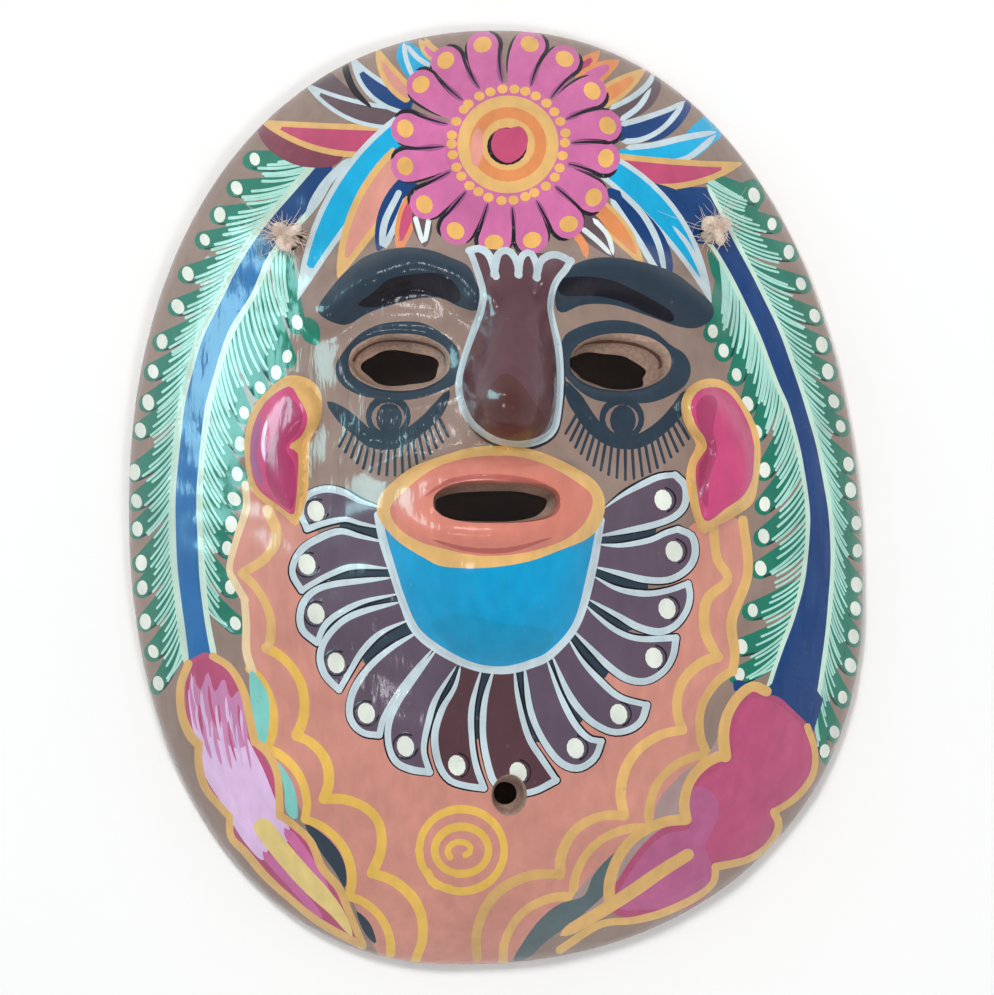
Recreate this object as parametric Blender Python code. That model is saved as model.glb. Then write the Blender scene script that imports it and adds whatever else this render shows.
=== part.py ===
"""A painted clay folk art mask, lying face up on its back rim.

The mask is one hollow shell of fired clay. Its outline is four quarters of
superellipses, and its front is a dome with the face raised on it. The back
follows the front at the thickness of the wall. A sisal cord hangs slack
behind the forehead, between two knots on the front.

Metres, +Z up. The origin is on the surface that the mask lies on, under the
middle of its length and width. The crown of the head points along +Y.
"""

import math

import bmesh
import bpy
import numpy as np
from mathutils import Vector
from mathutils.geometry import delaunay_2d_cdt

MM = 0.001

# Overall size
HEIGHT = 270.0 * MM
WIDTH = 212.2 * MM
DOME_RISE = 56.0 * MM
DOME_POWER = 0.72
WALL = 6.5 * MM

# Outline: where its four quarters meet, and how square each one is
CROWN_X = -0.1 * MM
CHIN_X = -11.2 * MM
LEFT_SIDE_Y = -3.4 * MM
RIGHT_SIDE_Y = -28.7 * MM
CROWN_SQUARENESS = 2.16
CHIN_SQUARENESS = 2.18

# Rim
RIM_WIDTH = 7.2 * MM
RIM_EDGE_HEIGHT = 4.0 * MM
RIM_OUTER_ROUND = 1.8 * MM
RIM_INNER_BEVEL = 1.2 * MM

# How square-shouldered each raised form is: lower powers stand up more steeply
NOSE_POWER = 0.65
BROW_POWER = 1.5
PAD_POWER = 0.8
SNOUT_POWER = 0.8
SNOUT_FLATNESS = 1.3
LIP_POWER = 1.5
GENTLE_POWER = 2

# How much of the nose and of the snout is hollowed out behind
NOSE_HOLLOW_SHARE = 0.45
SNOUT_HOLLOW_SHARE = 0.4

# Nose stations: height on the face, place across, half width and rise
NOSE_STATIONS = np.array([
    [14.0, 4.0, 3.5, 0.5],
    [17.5, 4.2, 9.4, 11.0],
    [22.0, 4.2, 12.4, 18.5],
    [28.0, 3.9, 13.6, 22.5],
    [35.5, 4.0, 13.8, 20.5],
    [45.0, 5.2, 11.8, 14.5],
    [54.0, 6.3, 9.6, 9.5],
    [64.0, 6.8, 10.6, 5.5],
    [72.0, 6.8, 13.8, 0.8],
]) * MM

# Brow ridges: routes from the nose outwards
BROW_LEFT = np.array([[-5.5, 58.0], [-12.0, 64.0], [-24.0, 67.5], [-37.0, 63.0], [-48.5, 54.0]]) * MM
BROW_RIGHT = np.array([[17.5, 62.0], [28.0, 66.0], [40.0, 65.5], [52.0, 60.0], [62.0, 52.5]]) * MM
BROW_HALF_WIDTH = 8.5 * MM
BROW_RISE = 6.5 * MM

# Eye openings: the cut in the front, and the narrower way out at the back
EYE_LEFT_FRONT = (-27.6 * MM, 38.7 * MM)
EYE_RIGHT_FRONT = (35.6 * MM, 38.8 * MM)
EYE_HALF_WIDTH = 14.6 * MM
EYE_HALF_HEIGHT = 8.2 * MM
EYE_BACK_HALF_WIDTH = 11.3 * MM
EYE_BACK_HALF_HEIGHT = 4.9 * MM
EYE_LEFT_SLANT = (0.3 * MM, -1.7 * MM)
EYE_RIGHT_SLANT = (-3.4 * MM, -2.6 * MM)
EYE_SQUARENESS = 2.1
LID_WIDTH = 5.0 * MM
LID_RISE = 1.5 * MM
SOCKET_HALF_WIDTH = 25.0 * MM
SOCKET_HALF_HEIGHT = 17.0 * MM
SOCKET_DEPTH = 3.2 * MM

# Cheek pads: kidney outlines, clockwise from the top
PAD_LEFT = np.array([
    [-59.5, 34.5], [-52.0, 30.0], [-50.5, 22.0], [-55.5, 16.0], [-55.0, 8.0], [-56.5, -3.0],
    [-58.5, -7.0], [-65.0, -1.0], [-71.0, 6.0], [-71.5, 17.0], [-67.5, 28.0],
]) * MM
PAD_RIGHT = np.array([
    [60.0, 33.0], [67.5, 27.5], [73.5, 17.0], [75.0, 5.0], [71.5, -3.5], [65.0, -7.5],
    [58.5, -10.0], [56.0, 1.0], [59.0, 14.5], [53.5, 19.5], [53.0, 29.0],
]) * MM
PAD_RISE = 6.5 * MM
PAD_SHOULDER = 6.0 * MM

# Mouth and chin, raised together as one snout
SNOUT_CENTRE = (-0.9 * MM, -2.7 * MM)
SNOUT_HALF_WIDTH = 31.5 * MM
SNOUT_UP = 17.0 * MM
SNOUT_DOWN = 46.0 * MM
SNOUT_RISE = 9.0 * MM
SNOUT_SQUARENESS = 2.15
MOUTH_FRONT = (0.4 * MM, -1.2 * MM)
MOUTH_HALF_WIDTH = 18.0 * MM
MOUTH_HALF_HEIGHT = 6.1 * MM
MOUTH_BACK_HALF_WIDTH = 15.4 * MM
MOUTH_BACK_HALF_HEIGHT = 4.4 * MM
MOUTH_SLANT = (-2.0 * MM, -1.3 * MM)
MOUTH_SQUARENESS = 2.7
LIP_WIDTH = 8.5 * MM
LIP_RISE = 3.2 * MM
MUZZLE_CENTRE = (0.0 * MM, -10.0 * MM)
MUZZLE_HALF_WIDTH = 58.0 * MM
MUZZLE_HALF_HEIGHT = 60.0 * MM
MUZZLE_RISE = 5.0 * MM

# Chin hole, wider in front than behind
CHIN_HOLE = (3.8 * MM, -85.2 * MM)
CHIN_HOLE_HALF_WIDTH = 5.0 * MM
CHIN_HOLE_HALF_HEIGHT = 6.1 * MM
CHIN_HOLE_BACK_RADIUS = 3.3 * MM
CHIN_HOLE_SLANT = (-1.2 * MM, 0.4 * MM)
CHIN_HOLE_SQUARENESS = 2.0

# Cord holes, cord and knots
CORD_HOLE_LEFT = (-58.5 * MM, 74.0 * MM)
CORD_HOLE_RIGHT = (61.5 * MM, 75.8 * MM)
CORD_HOLE_RADIUS = 3.3 * MM
CORD_DIAMETER = 3.5 * MM
KNOT_RADIUS = 4.8 * MM
KNOT_HALF_THICKNESS = 3.5 * MM
KNOT_LUMP = 0.4 * MM
KNOT_LUMPS_ROUND = 3
KNOT_TWIST = 2
TOUCH_GAP = 0.3 * MM

# Cord route behind the forehead, between the straight ends in its two holes
CORD_ROUTE = np.array([
    [-50.5, 61.5, 20.5], [-48.0, 58.5, 13.5], [-43.5, 57.0, 7.0], [-37.0, 56.8, 3.2],
    [-29.0, 57.8, 2.2], [-19.5, 60.0, 2.1], [-9.0, 62.8, 2.1], [2.0, 64.6, 2.1],
    [13.0, 64.6, 2.1], [23.5, 62.8, 2.1], [33.0, 60.6, 2.3], [41.0, 59.4, 3.6],
    [47.0, 59.9, 8.0], [50.6, 61.4, 14.5], [52.6, 63.6, 21.5],
]) * MM
CORD_STRAIGHT = 3.0 * MM
CORD_STEP = 8.0 * MM

# How fine the faceting is
RIM_SEGMENTS = 96
OPENING_SEGMENTS = 28
BORE_SEGMENTS = 14
FACE_STEP = 3.4 * MM
DOME_STEP = 7.0 * MM
BACK_STEP = 9.5 * MM
FACE_REACH = (80.0 * MM, -54.0 * MM, 76.0 * MM)
COLLAR_WIDTH = 2.2 * MM
PAD_RING_SHARES = (1.14, 0.76, 0.45)
SNOUT_SHOULDER_SHARE = 0.86
NORMAL_REACH = 1.0 * MM
EDGE_RINGS = (0.988, 0.955, 0.915)
BACK_RINGS = (0.97, 0.91)
FINE_OUTLINE_SEGMENTS = 720
FINE_CURVE_STEPS = 12
CURVE_STEPS = 8
COARSE_CURVE_STEPS = 3
SNOUT_OUTLINE_SEGMENTS = 44
NOSE_OUTLINE_STATIONS = 17
KNOT_SEGMENTS = (14, 9)
CORD_BEVEL_STEPS = 2
SMOOTH_SHADING_ANGLE = math.radians(45)

# How close free points may come, as shares of the spacing, and to the rings at the edge
FEATURE_CLEARANCE = 0.4
FACE_CLEARANCE = 0.62
DOME_CLEARANCE = 0.75
RING_CLEARANCE = 0.3
BACK_CLEARANCE = 0.35
FRONT_RING_GAP = 0.02
BACK_RING_GAP = 0.04
MERGE_DISTANCE = 1e-7


def smooth_curve(points, steps, closed=False):
    """Catmull-Rom curve through the points, with so many steps in each span."""
    points = np.asarray(points)
    if closed:
        around = np.vstack([points[-1:], points, points[:2]])
    else:
        around = np.vstack([2 * points[0] - points[1], points, 2 * points[-1] - points[-2]])
    share = (np.arange(steps) / steps)[:, None]
    curve = []
    for before, start, end, after in zip(around, around[1:], around[2:], around[3:]):
        bend = 2 * before - 5 * start + 4 * end - after
        twist = 3 * (start - end) + after - before
        curve.append(start + 0.5 * share * (end - before + share * (bend + share * twist)))
    if not closed:
        curve.append(points[-1:])
    return np.vstack(curve)


def outline_points(segments):
    """The rim's outer edge, anticlockwise from the right side, as rows of x and y."""
    quarters = (
        (CROWN_X, RIGHT_SIDE_Y, 0, CROWN_SQUARENESS),
        (CROWN_X, LEFT_SIDE_Y, 1, CROWN_SQUARENESS),
        (CHIN_X, LEFT_SIDE_Y, 2, CHIN_SQUARENESS),
        (CHIN_X, RIGHT_SIDE_Y, 3, CHIN_SQUARENESS),
    )
    rows = []
    for middle_x, middle_y, quarter, squareness in quarters:
        for step in range(segments // 4):
            turn = math.pi / 2 * (quarter + step / (segments // 4))
            across = math.copysign(abs(math.cos(turn)) ** (2 / squareness), math.cos(turn))
            up = math.copysign(abs(math.sin(turn)) ** (2 / squareness), math.sin(turn))
            reach_x = WIDTH / 2 - middle_x if across > 0 else WIDTH / 2 + middle_x
            reach_y = HEIGHT / 2 - middle_y if up > 0 else HEIGHT / 2 + middle_y
            rows.append((middle_x + reach_x * across, middle_y + reach_y * up))
    return np.array(rows)


FINE_OUTLINE = outline_points(FINE_OUTLINE_SEGMENTS)


def radius_towards(x, y, closed_outline):
    """Distance from the origin to a closed outline, in the direction of each point."""
    angles = np.arctan2(closed_outline[:, 1], closed_outline[:, 0])
    radii = np.hypot(closed_outline[:, 0], closed_outline[:, 1])
    return np.interp(np.arctan2(y, x), *sorted_by_angle(angles, radii), period=2 * math.pi)


def sorted_by_angle(angles, values):
    order = np.argsort(angles)
    return angles[order], values[order]


def inset(points, distance):
    """The points moved towards the origin by a distance."""
    radii = np.hypot(points[:, 0], points[:, 1])[:, None]
    return points * (1 - distance / radii)


def hump(share, power):
    """1 where the share is 0, falling smoothly to 0 where it is 1 or more."""
    return np.clip(1.0 - share * share, 0.0, 1.0) ** power


def oval_share(x, y, centre, half_width, half_height, squareness=2.0):
    """0 at an oval's centre, 1 on its edge."""
    across = np.abs((x - centre[0]) / half_width) ** squareness
    up = np.abs((y - centre[1]) / half_height) ** squareness
    return (across + up) ** (1 / squareness)


def station_value(column, y):
    """One column of the nose's stations as a smooth curve along the face."""
    places = NOSE_STATIONS[:, 0]
    values = NOSE_STATIONS[:, column]
    slopes = np.gradient(values, places)
    span = np.clip(np.searchsorted(places, y) - 1, 0, len(places) - 2)
    length = places[span + 1] - places[span]
    t = np.clip((y - places[span]) / length, 0.0, 1.0)
    start = (2 * t**3 - 3 * t**2 + 1) * values[span] + (t**3 - 2 * t**2 + t) * length * slopes[span]
    end = (3 * t**2 - 2 * t**3) * values[span + 1] + (t**3 - t**2) * length * slopes[span + 1]
    return start + end


def nose_rise(x, y):
    across = (x - station_value(1, y)) / np.maximum(station_value(2, y), MM)
    inside = (y > NOSE_STATIONS[0, 0]) & (y < NOSE_STATIONS[-1, 0])
    return np.where(inside, station_value(3, y) * hump(across, NOSE_POWER), 0.0)


def distance_to(points, others):
    """From each point to the nearest of the others, in plan."""
    across = points[:, None, 0] - others[None, :, 0]
    up = points[:, None, 1] - others[None, :, 1]
    return np.hypot(across, up).min(axis=1)


def inside_loop(points, loop):
    """Whether a ray along +X from each point crosses the closed loop an odd number of times."""
    x, y = points[:, 0], points[:, 1]
    inside = np.zeros(len(points), dtype=bool)
    for (start_x, start_y), (end_x, end_y) in zip(loop, np.roll(loop, -1, axis=0)):
        if start_y == end_y:
            continue
        crossing = start_x + (y - start_y) * (end_x - start_x) / (end_y - start_y)
        inside ^= ((start_y > y) != (end_y > y)) & (x < crossing)
    return inside


def brow_rise(x, y, route):
    """A ridge along its route, with round ends."""
    away = distance_to(np.column_stack([x, y]), smooth_curve(route, CURVE_STEPS))
    return BROW_RISE * hump(away / BROW_HALF_WIDTH, BROW_POWER)


def lid_rise(x, y, centre):
    """A low swelling round an eye opening."""
    share = oval_share(x, y, centre, EYE_HALF_WIDTH, EYE_HALF_HEIGHT, EYE_SQUARENESS)
    away = (share - 1) * (EYE_HALF_WIDTH + EYE_HALF_HEIGHT) / 2
    return LID_RISE * hump((away - LID_WIDTH / 2) / LID_WIDTH, GENTLE_POWER)


def socket_depth(x, y, centre):
    share = oval_share(x, y, centre, SOCKET_HALF_WIDTH, SOCKET_HALF_HEIGHT)
    return SOCKET_DEPTH * hump(share, GENTLE_POWER)


def pad_rise(x, y, outline):
    """A cheek pad: a quarter round shoulder inside its outline, and nearly level in the middle."""
    curve = smooth_curve(outline, CURVE_STEPS, closed=True)
    places = np.column_stack([x, y])
    inward = distance_to(places, curve) / PAD_SHOULDER
    rise = PAD_RISE * hump(np.clip(1 - inward, 0, 1), PAD_POWER)
    return np.where(inside_loop(places, curve), rise, 0.0)


def snout_rise(x, y):
    """The mouth and chin, with a round shoulder all round."""
    half_height = np.where(y > SNOUT_CENTRE[1], SNOUT_UP, SNOUT_DOWN)
    share = oval_share(x, y, SNOUT_CENTRE, SNOUT_HALF_WIDTH, half_height, SNOUT_SQUARENESS)
    return SNOUT_RISE * hump(share**SNOUT_FLATNESS, SNOUT_POWER)


def lip_rise(x, y):
    share = oval_share(x, y, MOUTH_FRONT, MOUTH_HALF_WIDTH, MOUTH_HALF_HEIGHT, MOUTH_SQUARENESS)
    away = (share - 1) * MOUTH_HALF_HEIGHT
    return LIP_RISE * hump((away - LIP_WIDTH / 3) / (LIP_WIDTH * 2 / 3), LIP_POWER)


def broad_form(x, y):
    """What both faces of the wall share: the muzzle's swelling and the eye sockets."""
    muzzle = oval_share(x, y, MUZZLE_CENTRE, MUZZLE_HALF_WIDTH, MUZZLE_HALF_HEIGHT)
    sockets = socket_depth(x, y, EYE_LEFT_FRONT) + socket_depth(x, y, EYE_RIGHT_FRONT)
    return MUZZLE_RISE * hump(muzzle, GENTLE_POWER) - sockets


def dome(x, y, outline, base, rise):
    share = np.hypot(x, y) / radius_towards(x, y, outline)
    return base + rise * hump(share, DOME_POWER)


def front_height(x, y):
    """Height of the painted face above the surface that the mask lies on."""
    x, y = np.atleast_1d(x, y)
    features = nose_rise(x, y) + snout_rise(x, y) + lip_rise(x, y)
    for route in (BROW_LEFT, BROW_RIGHT):
        features = features + brow_rise(x, y, route)
    for centre in (EYE_LEFT_FRONT, EYE_RIGHT_FRONT):
        features = features + lid_rise(x, y, centre)
    for outline in (PAD_LEFT, PAD_RIGHT):
        features = features + pad_rise(x, y, outline)
    return dome(x, y, FINE_OUTLINE, RIM_EDGE_HEIGHT, DOME_RISE) + broad_form(x, y) + features


def back_height(x, y):
    """Height of the hollow's roof: the front's broad form, without its small relief."""
    x, y = np.atleast_1d(x, y)
    rise = DOME_RISE + RIM_EDGE_HEIGHT - WALL - RIM_INNER_BEVEL
    hollow = NOSE_HOLLOW_SHARE * nose_rise(x, y) + SNOUT_HOLLOW_SHARE * snout_rise(x, y)
    roof = dome(x, y, inset(FINE_OUTLINE, RIM_WIDTH), RIM_INNER_BEVEL, rise)
    return roof + broad_form(x, y) + hollow


def front_normal(x, y):
    reach = NORMAL_REACH
    slope_x = (front_height(x + reach, y) - front_height(x - reach, y))[0] / (2 * reach)
    slope_y = (front_height(x, y + reach) - front_height(x, y - reach))[0] / (2 * reach)
    return Vector((-slope_x, -slope_y, 1.0)).normalized()


def oval_loop(centre, half_width, half_height, squareness, segments):
    rows = []
    for step in range(segments):
        turn = 2 * math.pi * step / segments
        across = math.copysign(abs(math.cos(turn)) ** (2 / squareness), math.cos(turn))
        up = math.copysign(abs(math.sin(turn)) ** (2 / squareness), math.sin(turn))
        rows.append((centre[0] + half_width * across, centre[1] + half_height * up))
    return np.array(rows)


def moved(centre, slant):
    return (centre[0] + slant[0], centre[1] + slant[1])


def cut_opening(centre, slant, front_size, back_size, squareness):
    """A knife cut: the same oval in front and, narrower and shifted, behind."""
    front = oval_loop(centre, *front_size, squareness, OPENING_SEGMENTS)
    back = oval_loop(moved(centre, slant), *back_size, squareness, OPENING_SEGMENTS)
    return front, back


def bored_hole(centre):
    """A round hole for the cord, square to the front surface, seen from above."""
    normal = front_normal(*centre)
    side = normal.cross(Vector((0, 1, 0))).normalized()
    rise = side.cross(normal)
    loops = []
    for depth in (0.0, WALL):
        rows = []
        for step in range(BORE_SEGMENTS):
            turn = 2 * math.pi * step / BORE_SEGMENTS
            point = CORD_HOLE_RADIUS * (math.cos(turn) * side + math.sin(turn) * rise) - depth * normal
            rows.append((centre[0] + point.x, centre[1] + point.y))
        loops.append(np.array(rows))
    return loops


def openings():
    """Every way through the wall, as pairs of front and back loops."""
    eye_size = (EYE_HALF_WIDTH, EYE_HALF_HEIGHT)
    eye_back = (EYE_BACK_HALF_WIDTH, EYE_BACK_HALF_HEIGHT)
    mouth_size = (MOUTH_HALF_WIDTH, MOUTH_HALF_HEIGHT)
    mouth_back = (MOUTH_BACK_HALF_WIDTH, MOUTH_BACK_HALF_HEIGHT)
    chin_size = (CHIN_HOLE_HALF_WIDTH, CHIN_HOLE_HALF_HEIGHT)
    chin_back = (CHIN_HOLE_BACK_RADIUS, CHIN_HOLE_BACK_RADIUS)
    return [
        cut_opening(EYE_LEFT_FRONT, EYE_LEFT_SLANT, eye_size, eye_back, EYE_SQUARENESS),
        cut_opening(EYE_RIGHT_FRONT, EYE_RIGHT_SLANT, eye_size, eye_back, EYE_SQUARENESS),
        cut_opening(MOUTH_FRONT, MOUTH_SLANT, mouth_size, mouth_back, MOUTH_SQUARENESS),
        cut_opening(CHIN_HOLE, CHIN_HOLE_SLANT, chin_size, chin_back, CHIN_HOLE_SQUARENESS),
        bored_hole(CORD_HOLE_LEFT),
        bored_hole(CORD_HOLE_RIGHT),
    ]


def snout_outline():
    segments = SNOUT_OUTLINE_SEGMENTS
    rows = oval_loop(SNOUT_CENTRE, SNOUT_HALF_WIDTH, SNOUT_DOWN, SNOUT_SQUARENESS, segments)
    above = rows[:, 1] > SNOUT_CENTRE[1]
    rows[above, 1] = SNOUT_CENTRE[1] + (rows[above, 1] - SNOUT_CENTRE[1]) * SNOUT_UP / SNOUT_DOWN
    return rows


def nose_outline():
    heights = np.linspace(NOSE_STATIONS[0, 0], NOSE_STATIONS[-1, 0], NOSE_OUTLINE_STATIONS)
    middle, half = station_value(1, heights), station_value(2, heights)
    left = np.column_stack([middle - half, heights])
    right = np.column_stack([middle + half, heights])
    return np.vstack([left, right])


def collar(loop):
    """Every second point of a loop, moved outwards to lie round an opening."""
    centre = loop.mean(axis=0)
    offset = loop[::2] - centre
    reach = np.hypot(offset[:, 0], offset[:, 1])[:, None]
    return centre + offset * (1 + COLLAR_WIDTH / reach)


def shrunk(loop, share):
    """A loop drawn in towards its middle."""
    centre = loop.mean(axis=0)
    return centre + (loop - centre) * share


def beside(route, distance):
    """A smooth curve at a distance to the left of a route."""
    curve = smooth_curve(route, COARSE_CURVE_STEPS)
    ahead = np.gradient(curve, axis=0)
    left = np.column_stack([-ahead[:, 1], ahead[:, 0]]) / np.hypot(*ahead.T)[:, None]
    return curve + left * distance


def feature_points(holes):
    """Points along the foot and the shoulder of each raised form, so that it is crisp."""
    rows = [nose_outline(), snout_outline(), shrunk(snout_outline(), SNOUT_SHOULDER_SHARE)]
    for outline in (PAD_LEFT, PAD_RIGHT):
        pad = smooth_curve(outline, COARSE_CURVE_STEPS, closed=True)
        rows += [pad] + [shrunk(pad, share) for share in PAD_RING_SHARES]
    for route in (BROW_LEFT, BROW_RIGHT):
        offsets = (-BROW_HALF_WIDTH, 0.0, BROW_HALF_WIDTH)
        rows += [beside(route, distance) for distance in offsets]
    return np.vstack(rows + [collar(hole) for hole in holes])


def clear_of(points, others, distance):
    return points[distance_to(points, others) > distance]


def hex_grid(step):
    """Points over the whole plan, each the same distance from its six neighbours."""
    rows = []
    for row in range(-int(HEIGHT / step), int(HEIGHT / step) + 1):
        for column in range(-int(WIDTH / step), int(WIDTH / step) + 1):
            rows.append(((column + 0.5 * (row % 2)) * step, row * step * math.sqrt(0.75)))
    return np.array(rows)


def inside_share(points, outline):
    """0 at the origin, 1 on the outline."""
    x, y = points[:, 0], points[:, 1]
    return np.hypot(x, y) / radius_towards(x, y, outline)


def sheet(rim, holes, free_points):
    """Triangles over the rim's inside, apart from the holes, through the free points."""
    loops = [rim] + holes
    edges = []
    start = 0
    for loop in loops:
        count = len(loop)
        edges += [(start + step, start + (step + 1) % count) for step in range(count)]
        start += count
    points = np.vstack(loops + [free_points])
    flat = [Vector((float(px), float(py))) for px, py in points]
    found = delaunay_2d_cdt(flat, edges, [], 0, MERGE_DISTANCE)
    places = np.array([tuple(vertex) for vertex in found[0]])
    new_index = {old: new for new, olds in enumerate(found[3]) for old in olds}
    triangles = np.array(found[2])
    middles = places[triangles].mean(axis=1)
    keep = inside_loop(middles, rim)
    for hole in holes:
        keep &= ~inside_loop(middles, hole)
    loop_indices = []
    start = 0
    for loop in loops:
        loop_indices.append([new_index[start + step] for step in range(len(loop))])
        start += len(loop)
    return places, triangles[keep], loop_indices


def front_points(rim, holes):
    """Free points of the front: fine over the face, coarser beyond, in rings at the edge."""
    fixed = np.vstack([rim] + holes)
    features = clear_of(feature_points(holes), fixed, FEATURE_CLEARANCE * FACE_STEP)
    rings = np.vstack([rim * share for share in EDGE_RINGS])
    fine = hex_grid(FACE_STEP)
    face_x, face_low, face_high = FACE_REACH
    fine = fine[(np.abs(fine[:, 0]) < face_x) & (fine[:, 1] > face_low) & (fine[:, 1] < face_high)]
    fine = clear_of(fine, np.vstack([fixed, features]), FACE_CLEARANCE * FACE_STEP)
    coarse = hex_grid(DOME_STEP)
    coarse = clear_of(coarse, np.vstack([fixed, features, fine]), DOME_CLEARANCE * DOME_STEP)
    inner = np.vstack([features, fine, coarse])
    inner = inner[inside_share(inner, rim) < EDGE_RINGS[-1] - FRONT_RING_GAP]
    rings = clear_of(rings, np.vstack([fixed, inner]), RING_CLEARANCE * FACE_STEP)
    points = np.vstack([inner, rings])
    for hole in holes:
        points = points[~inside_loop(points, hole)]
    return points


def back_points(rim, holes):
    """Free points of the back: an even spread, in rings near the edge."""
    fixed = np.vstack([rim] + holes)
    rings = np.vstack([rim[::2] * share for share in BACK_RINGS])
    grid = hex_grid(BACK_STEP)
    grid = grid[inside_share(grid, rim) < BACK_RINGS[-1] - BACK_RING_GAP]
    points = clear_of(np.vstack([grid, rings]), fixed, BACK_CLEARANCE * BACK_STEP)
    for hole in holes:
        points = points[~inside_loop(points, hole)]
    return points


def lifted(places, heights):
    return [Vector((float(px), float(py), float(pz))) for (px, py), pz in zip(places, heights)]


def bridge(mesh, lower, upper):
    """Quads between two rings of vertices with the same count."""
    count = len(lower)
    for step in range(count):
        ahead = (step + 1) % count
        mesh.faces.new((lower[step], lower[ahead], upper[ahead], upper[step]))


def ring_at(mesh, places, height):
    return [mesh.verts.new((float(px), float(py), height)) for px, py in places]


def add_sheet(mesh, rim, holes, free_points, height_of):
    places, triangles, loops = sheet(rim, holes, free_points)
    heights = height_of(places[:, 0], places[:, 1])
    used = np.unique(triangles)
    vertices = {}
    for index, place in zip(used, lifted(places[used], heights[used])):
        vertices[index] = mesh.verts.new(place)
    for triangle in triangles:
        mesh.faces.new([vertices[index] for index in triangle])
    return [[vertices[index] for index in loop] for loop in loops]


def build_shell(material):
    """The clay mask: front sheet, back sheet, rim and the walls of its openings."""
    pairs = openings()
    fronts = [np.array(front) for front, back in pairs]
    backs = [np.array(back) for front, back in pairs]
    outer = outline_points(RIM_SEGMENTS)
    inner = inset(outer, RIM_WIDTH)
    mesh = bmesh.new()
    front_loops = add_sheet(mesh, outer, fronts, front_points(outer, fronts), front_height)
    back_loops = add_sheet(mesh, inner, backs, back_points(inner, backs), back_height)
    rounding = RIM_OUTER_ROUND
    slope = rounding * (1 - math.sqrt(0.5))
    side = ring_at(mesh, outer, rounding)
    corner = ring_at(mesh, inset(outer, slope), slope)
    foot = ring_at(mesh, inset(outer, rounding), 0.0)
    inner_foot = ring_at(mesh, inset(outer, RIM_WIDTH - RIM_INNER_BEVEL), 0.0)
    rings = [front_loops[0], side, corner, foot, inner_foot, back_loops[0]]
    for upper, lower in zip(rings, rings[1:]):
        bridge(mesh, lower, upper)
    for front, back in zip(front_loops[1:], back_loops[1:]):
        bridge(mesh, back, front)
    bmesh.ops.triangulate(mesh, faces=mesh.faces[:])
    bmesh.ops.recalc_face_normals(mesh, faces=mesh.faces[:])
    return add_object("mask_shell", mesh, material)


def build_knot(name, hole, material):
    """A lumpy overhand knot, drawn up against the mouth of its hole."""
    normal = front_normal(*hole)
    seat = Vector((hole[0], hole[1], float(front_height(*hole)[0])))
    centre = seat + (KNOT_HALF_THICKNESS + KNOT_LUMP + TOUCH_GAP) * normal
    mesh = bmesh.new()
    around, along = KNOT_SEGMENTS
    bmesh.ops.create_uvsphere(mesh, u_segments=around, v_segments=along, radius=1.0)
    turn = Vector((0, 0, 1)).rotation_difference(normal)
    for vertex in mesh.verts:
        direction = vertex.co.copy()
        bearing = math.atan2(direction.y, direction.x)
        level = math.hypot(direction.x, direction.y)
        wave = math.cos(KNOT_LUMPS_ROUND * bearing + KNOT_TWIST * direction.z)
        lump = KNOT_LUMP * level * wave
        shaped = Vector((
            direction.x * (KNOT_RADIUS + lump),
            direction.y * (KNOT_RADIUS + lump),
            direction.z * KNOT_HALF_THICKNESS,
        ))
        vertex.co = centre + turn @ shaped
    return add_object(name, mesh, material)


def cord_points():
    """The cord's middle line, evenly stepped, from the left hole's mouth to the right one's."""
    ends = []
    for hole in (CORD_HOLE_LEFT, CORD_HOLE_RIGHT):
        normal = np.array(front_normal(*hole))
        mouth = np.array([hole[0], hole[1], float(front_height(*hole)[0])])
        depths = (-TOUCH_GAP, WALL / 2, WALL + CORD_STRAIGHT)
        ends.append([mouth - depth * normal for depth in depths])
    route = np.vstack([ends[0], CORD_ROUTE, ends[1][::-1]])
    curve = smooth_curve(route, FINE_CURVE_STEPS)
    run = np.concatenate([[0.0], np.cumsum(np.linalg.norm(np.diff(curve, axis=0), axis=1))])
    places = np.linspace(0.0, run[-1], int(run[-1] / CORD_STEP) + 1)
    return np.column_stack([np.interp(places, run, curve[:, axis]) for axis in range(3)])


def build_cord(material):
    points = cord_points()
    curve = bpy.data.curves.new("hanging_cord", "CURVE")
    curve.dimensions = "3D"
    curve.bevel_depth = CORD_DIAMETER / 2
    curve.bevel_resolution = CORD_BEVEL_STEPS
    curve.use_fill_caps = True
    spline = curve.splines.new("POLY")
    spline.points.add(len(points) - 1)
    for place, target in zip(points, spline.points):
        target.co = (*place, 1.0)
    curve.materials.append(material)
    cord = bpy.data.objects.new("hanging_cord", curve)
    bpy.context.collection.objects.link(cord)
    return cord


def add_object(name, mesh, material):
    """Turn a bmesh into a smooth-shaded object of the scene."""
    data = bpy.data.meshes.new(name)
    mesh.to_mesh(data)
    mesh.free()
    data.shade_smooth()
    data.set_sharp_from_angle(angle=SMOOTH_SHADING_ANGLE)
    data.materials.append(material)
    item = bpy.data.objects.new(name, data)
    bpy.context.collection.objects.link(item)
    return item


def make_material(name, colour, roughness, metallic=0.0):
    material = bpy.data.materials.new(name)
    material.use_nodes = True
    shader = material.node_tree.nodes["Principled BSDF"]
    shader.inputs["Base Color"].default_value = (*colour, 1.0)
    shader.inputs["Roughness"].default_value = roughness
    shader.inputs["Metallic"].default_value = metallic
    return material


def clear_scene():
    for item in list(bpy.data.objects):
        bpy.data.objects.remove(item, do_unlink=True)


def main():
    clear_scene()
    clay = make_material("painted_clay", (0.42, 0.27, 0.21), 0.35)
    sisal = make_material("sisal", (0.52, 0.40, 0.26), 0.9)
    build_shell(clay)
    build_cord(sisal)
    build_knot("cord_knot_left", CORD_HOLE_LEFT, sisal)
    build_knot("cord_knot_right", CORD_HOLE_RIGHT, sisal)


main()
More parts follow.
